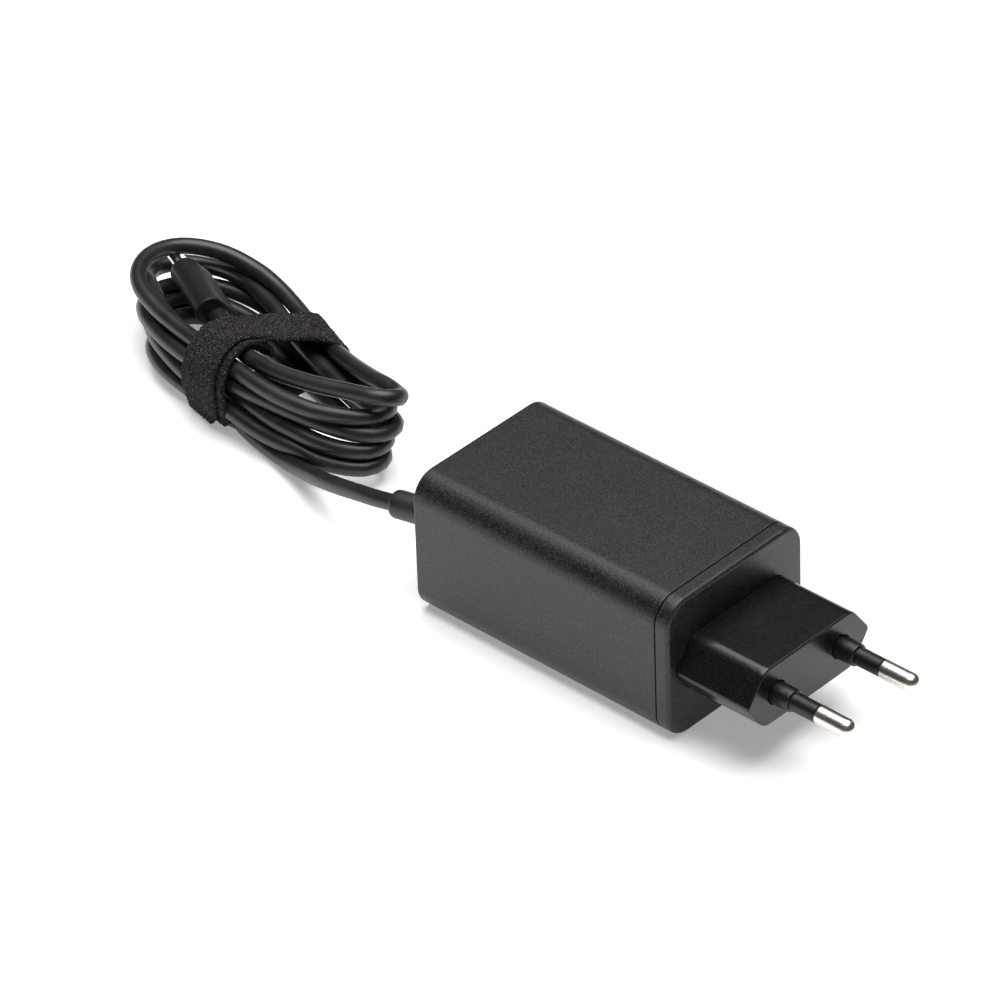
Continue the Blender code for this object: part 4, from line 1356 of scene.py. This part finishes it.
class Studio:
    """A plain pale floor under soft light; the floor also gives off painted light of its own, which lifts its
    shadows.
    """

    lamps = (
        Lamp("overhead", (-0.10, 0.15, 1.2), (-0.05, 0.0, 0.0), 1.2, 26.5),
    )
    ambient = 0.05
    # painted light: the floor glows though it is no lamp, which lifts the shadows on it
    shadow_lifting_glow = 0.32

    def build_floor(self) -> bpy.types.Object:
        """The floor, wide enough for any view, glowing a little so that its shadows stay light.

        Returns:
            The floor.
        """
        g = Graph("floor_white")
        soft = g.noise(0.4, 2.0)
        colour = g.blend(soft, (0.90, 0.90, 0.90), (0.92, 0.92, 0.92))
        # painted light: the floor's emission lightens every shadow on it
        finish = g.finish(Base_Color=colour, Roughness=0.75, Emission_Color=(1.0, 1.0, 1.0),
                          Emission_Strength=self.shadow_lifting_glow)
        mesh = bpy.data.meshes.new("floor")
        reach = 4.0
        mesh.from_pydata([(-reach, -reach, 0), (reach, -reach, 0), (reach, reach, 0), (-reach, reach, 0)],
                         [], [(0, 1, 2, 3)])
        mesh.materials.append(finish)
        made = bpy.data.objects.new("floor", mesh)
        made.location.z = -0.02 * MM
        bpy.context.scene.collection.objects.link(made)
        return made

    def light(self) -> None:
        """The world's dim grey and the lamps."""
        world = bpy.data.worlds.new("studio")
        world.use_nodes = True
        background = world.node_tree.nodes["Background"]
        background.inputs["Color"].default_value = (1.0, 1.0, 1.0, 1.0)
        background.inputs["Strength"].default_value = self.ambient
        bpy.context.scene.world = world
        bpy.context.scene.view_settings.view_transform = "Standard"
        for lamp in self.lamps:
            lamp.hang()


# ---------------------------------------------------------------- inside pieces

INSIDE: tuple[HiddenFinish, ...] = (
    HiddenFinish("contact_brass", (0.75, 0.6, 0.35), 0.35, 1.0),
    HiddenFinish("board_green", (0.03, 0.16, 0.07), 0.45),
    HiddenFinish("insulation_sheet", (0.55, 0.5, 0.4), 0.7),
    HiddenFinish("spreader_aluminium", (0.8, 0.8, 0.81), 0.4, 1.0),
    HiddenFinish("thermal_pad_grey", (0.4, 0.42, 0.45), 0.85),
    HiddenFinish("ferrite_grey", (0.06, 0.06, 0.065), 0.6),
    HiddenFinish("bobbin_black", (0.05, 0.05, 0.05), 0.5),
    HiddenFinish("winding_tape", (0.75, 0.55, 0.1), 0.4),
    HiddenFinish("winding_copper", (0.7, 0.3, 0.15), 0.35, 1.0),
    HiddenFinish("capacitor_sleeve", (0.02, 0.03, 0.07), 0.35),
    HiddenFinish("fuse_white", (0.7, 0.7, 0.66), 0.5),
    HiddenFinish("varistor_blue", (0.06, 0.14, 0.4), 0.5),
    HiddenFinish("film_yellow", (0.75, 0.6, 0.12), 0.4),
    HiddenFinish("ceramic_blue", (0.1, 0.25, 0.55), 0.45),
    HiddenFinish("chip_black", (0.02, 0.02, 0.02), 0.5),
    HiddenFinish("opto_white", (0.75, 0.75, 0.72), 0.5),
    HiddenFinish("wire_red", (0.5, 0.03, 0.03), 0.4),
    HiddenFinish("contact_gold", (0.85, 0.65, 0.3), 0.3, 1.0),
)


def dress_inside() -> None:
    """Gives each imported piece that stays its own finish, by its slot."""
    made = {finish.slot: finish.make() for finish in INSIDE}
    slots = {part["node"]: part["material_slot"] for part in frame["record"]["subparts"]}
    for name, node in frame["nodes"].items():
        finish = made.get(slots[name])
        if finish is None:
            continue
        node.data.materials.clear()
        node.data.materials.append(finish)


# ---------------------------------------------------------------- making

def main() -> None:
    """Builds the studio and every piece."""
    Viewpoint().place()
    studio = Studio()
    studio.build_floor()
    studio.light()

    shell_low, shell_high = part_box("housing_shell")
    cap_low, cap_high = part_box("front_cap")
    pin_low, pin_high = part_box("contact_pin_near")
    block_low, block_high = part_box("plug_block")
    housing_plastic = MouldedPlastic("grained_black").make()
    jacket = CordJacket("cord_jacket").make()

    cord = OutputCord()
    line = cord.route()
    lead = cord.build_cord(line, jacket)
    relief = cord.build_relief(jacket)
    LOG.info("cord: %d points, %.3f m", len(line), float(np.linalg.norm(np.diff(line, axis=0), axis=1).sum()))

    housing = Housing(shell_low, Vector((cap_high.x, shell_high.y, shell_high.z)), shell_high.x + 0.3 * MM)
    level = (shell_low.z + shell_high.z) / 2
    plug = Plug(cap_high.x, block_high.x, pin_high.x, level, -(pin_low.y + pin_high.y) / 2)
    housing.build_shell(Vector(cord.lead[0]) * MM, cord.relief_radius + 0.12 * MM, housing_plastic)
    housing.build_cap(plug.ring(cap_high.x, 0.1 * MM), housing_plastic)
    LOG.info("housing: shell and cap")

    smooth = MouldedPlastic("satin_black", (0.004, 0.004, 0.0045), (0.014, 0.014, 0.015), 0.24,
                            0.26 * MM, 0.014 * MM, 0.3)
    plug.build_block(smooth.make(plug.ring_marks))
    sleeve = MouldedPlastic("sleeve_black", (0.004, 0.004, 0.0045), (0.012, 0.012, 0.013), 0.36,
                            0.3 * MM, 0.05 * MM, 0.3).make()
    plug.build_pins(PlatedMetal("nickel").make(), sleeve)
    LOG.info("plug: block, pins and sleeves")

    connector_plastic = MouldedPlastic("overmould_black", (0.007, 0.0072, 0.0072), (0.012, 0.0122, 0.0122), 0.46,
                                       0.25 * MM, 0.02 * MM, 0.2).make()
    connector = Connector()
    body = connector.build_body(connector_plastic)
    neck = connector.build_relief(connector_plastic)
    mouth = connector.build_shell(PlatedMetal("connector_steel", (0.78, 0.78, 0.77), 0.2).make())
    gold = PlatedMetal("contact_plating", (0.85, 0.65, 0.32), 0.25).make()
    contacts = [connector.build_contacts("connector_contacts_upper", 1.0, gold),
                connector.build_contacts("connector_contacts_lower", -1.0, gold)]
    LOG.info("connector: overmould, neck, mouth and contacts")

    ties = Tie().build(LoopPile("loop_pile").make())
    LOG.info("tie: band, lapped end and tucked end")

    dress_inside()


if __name__ == "__main__":
    main()
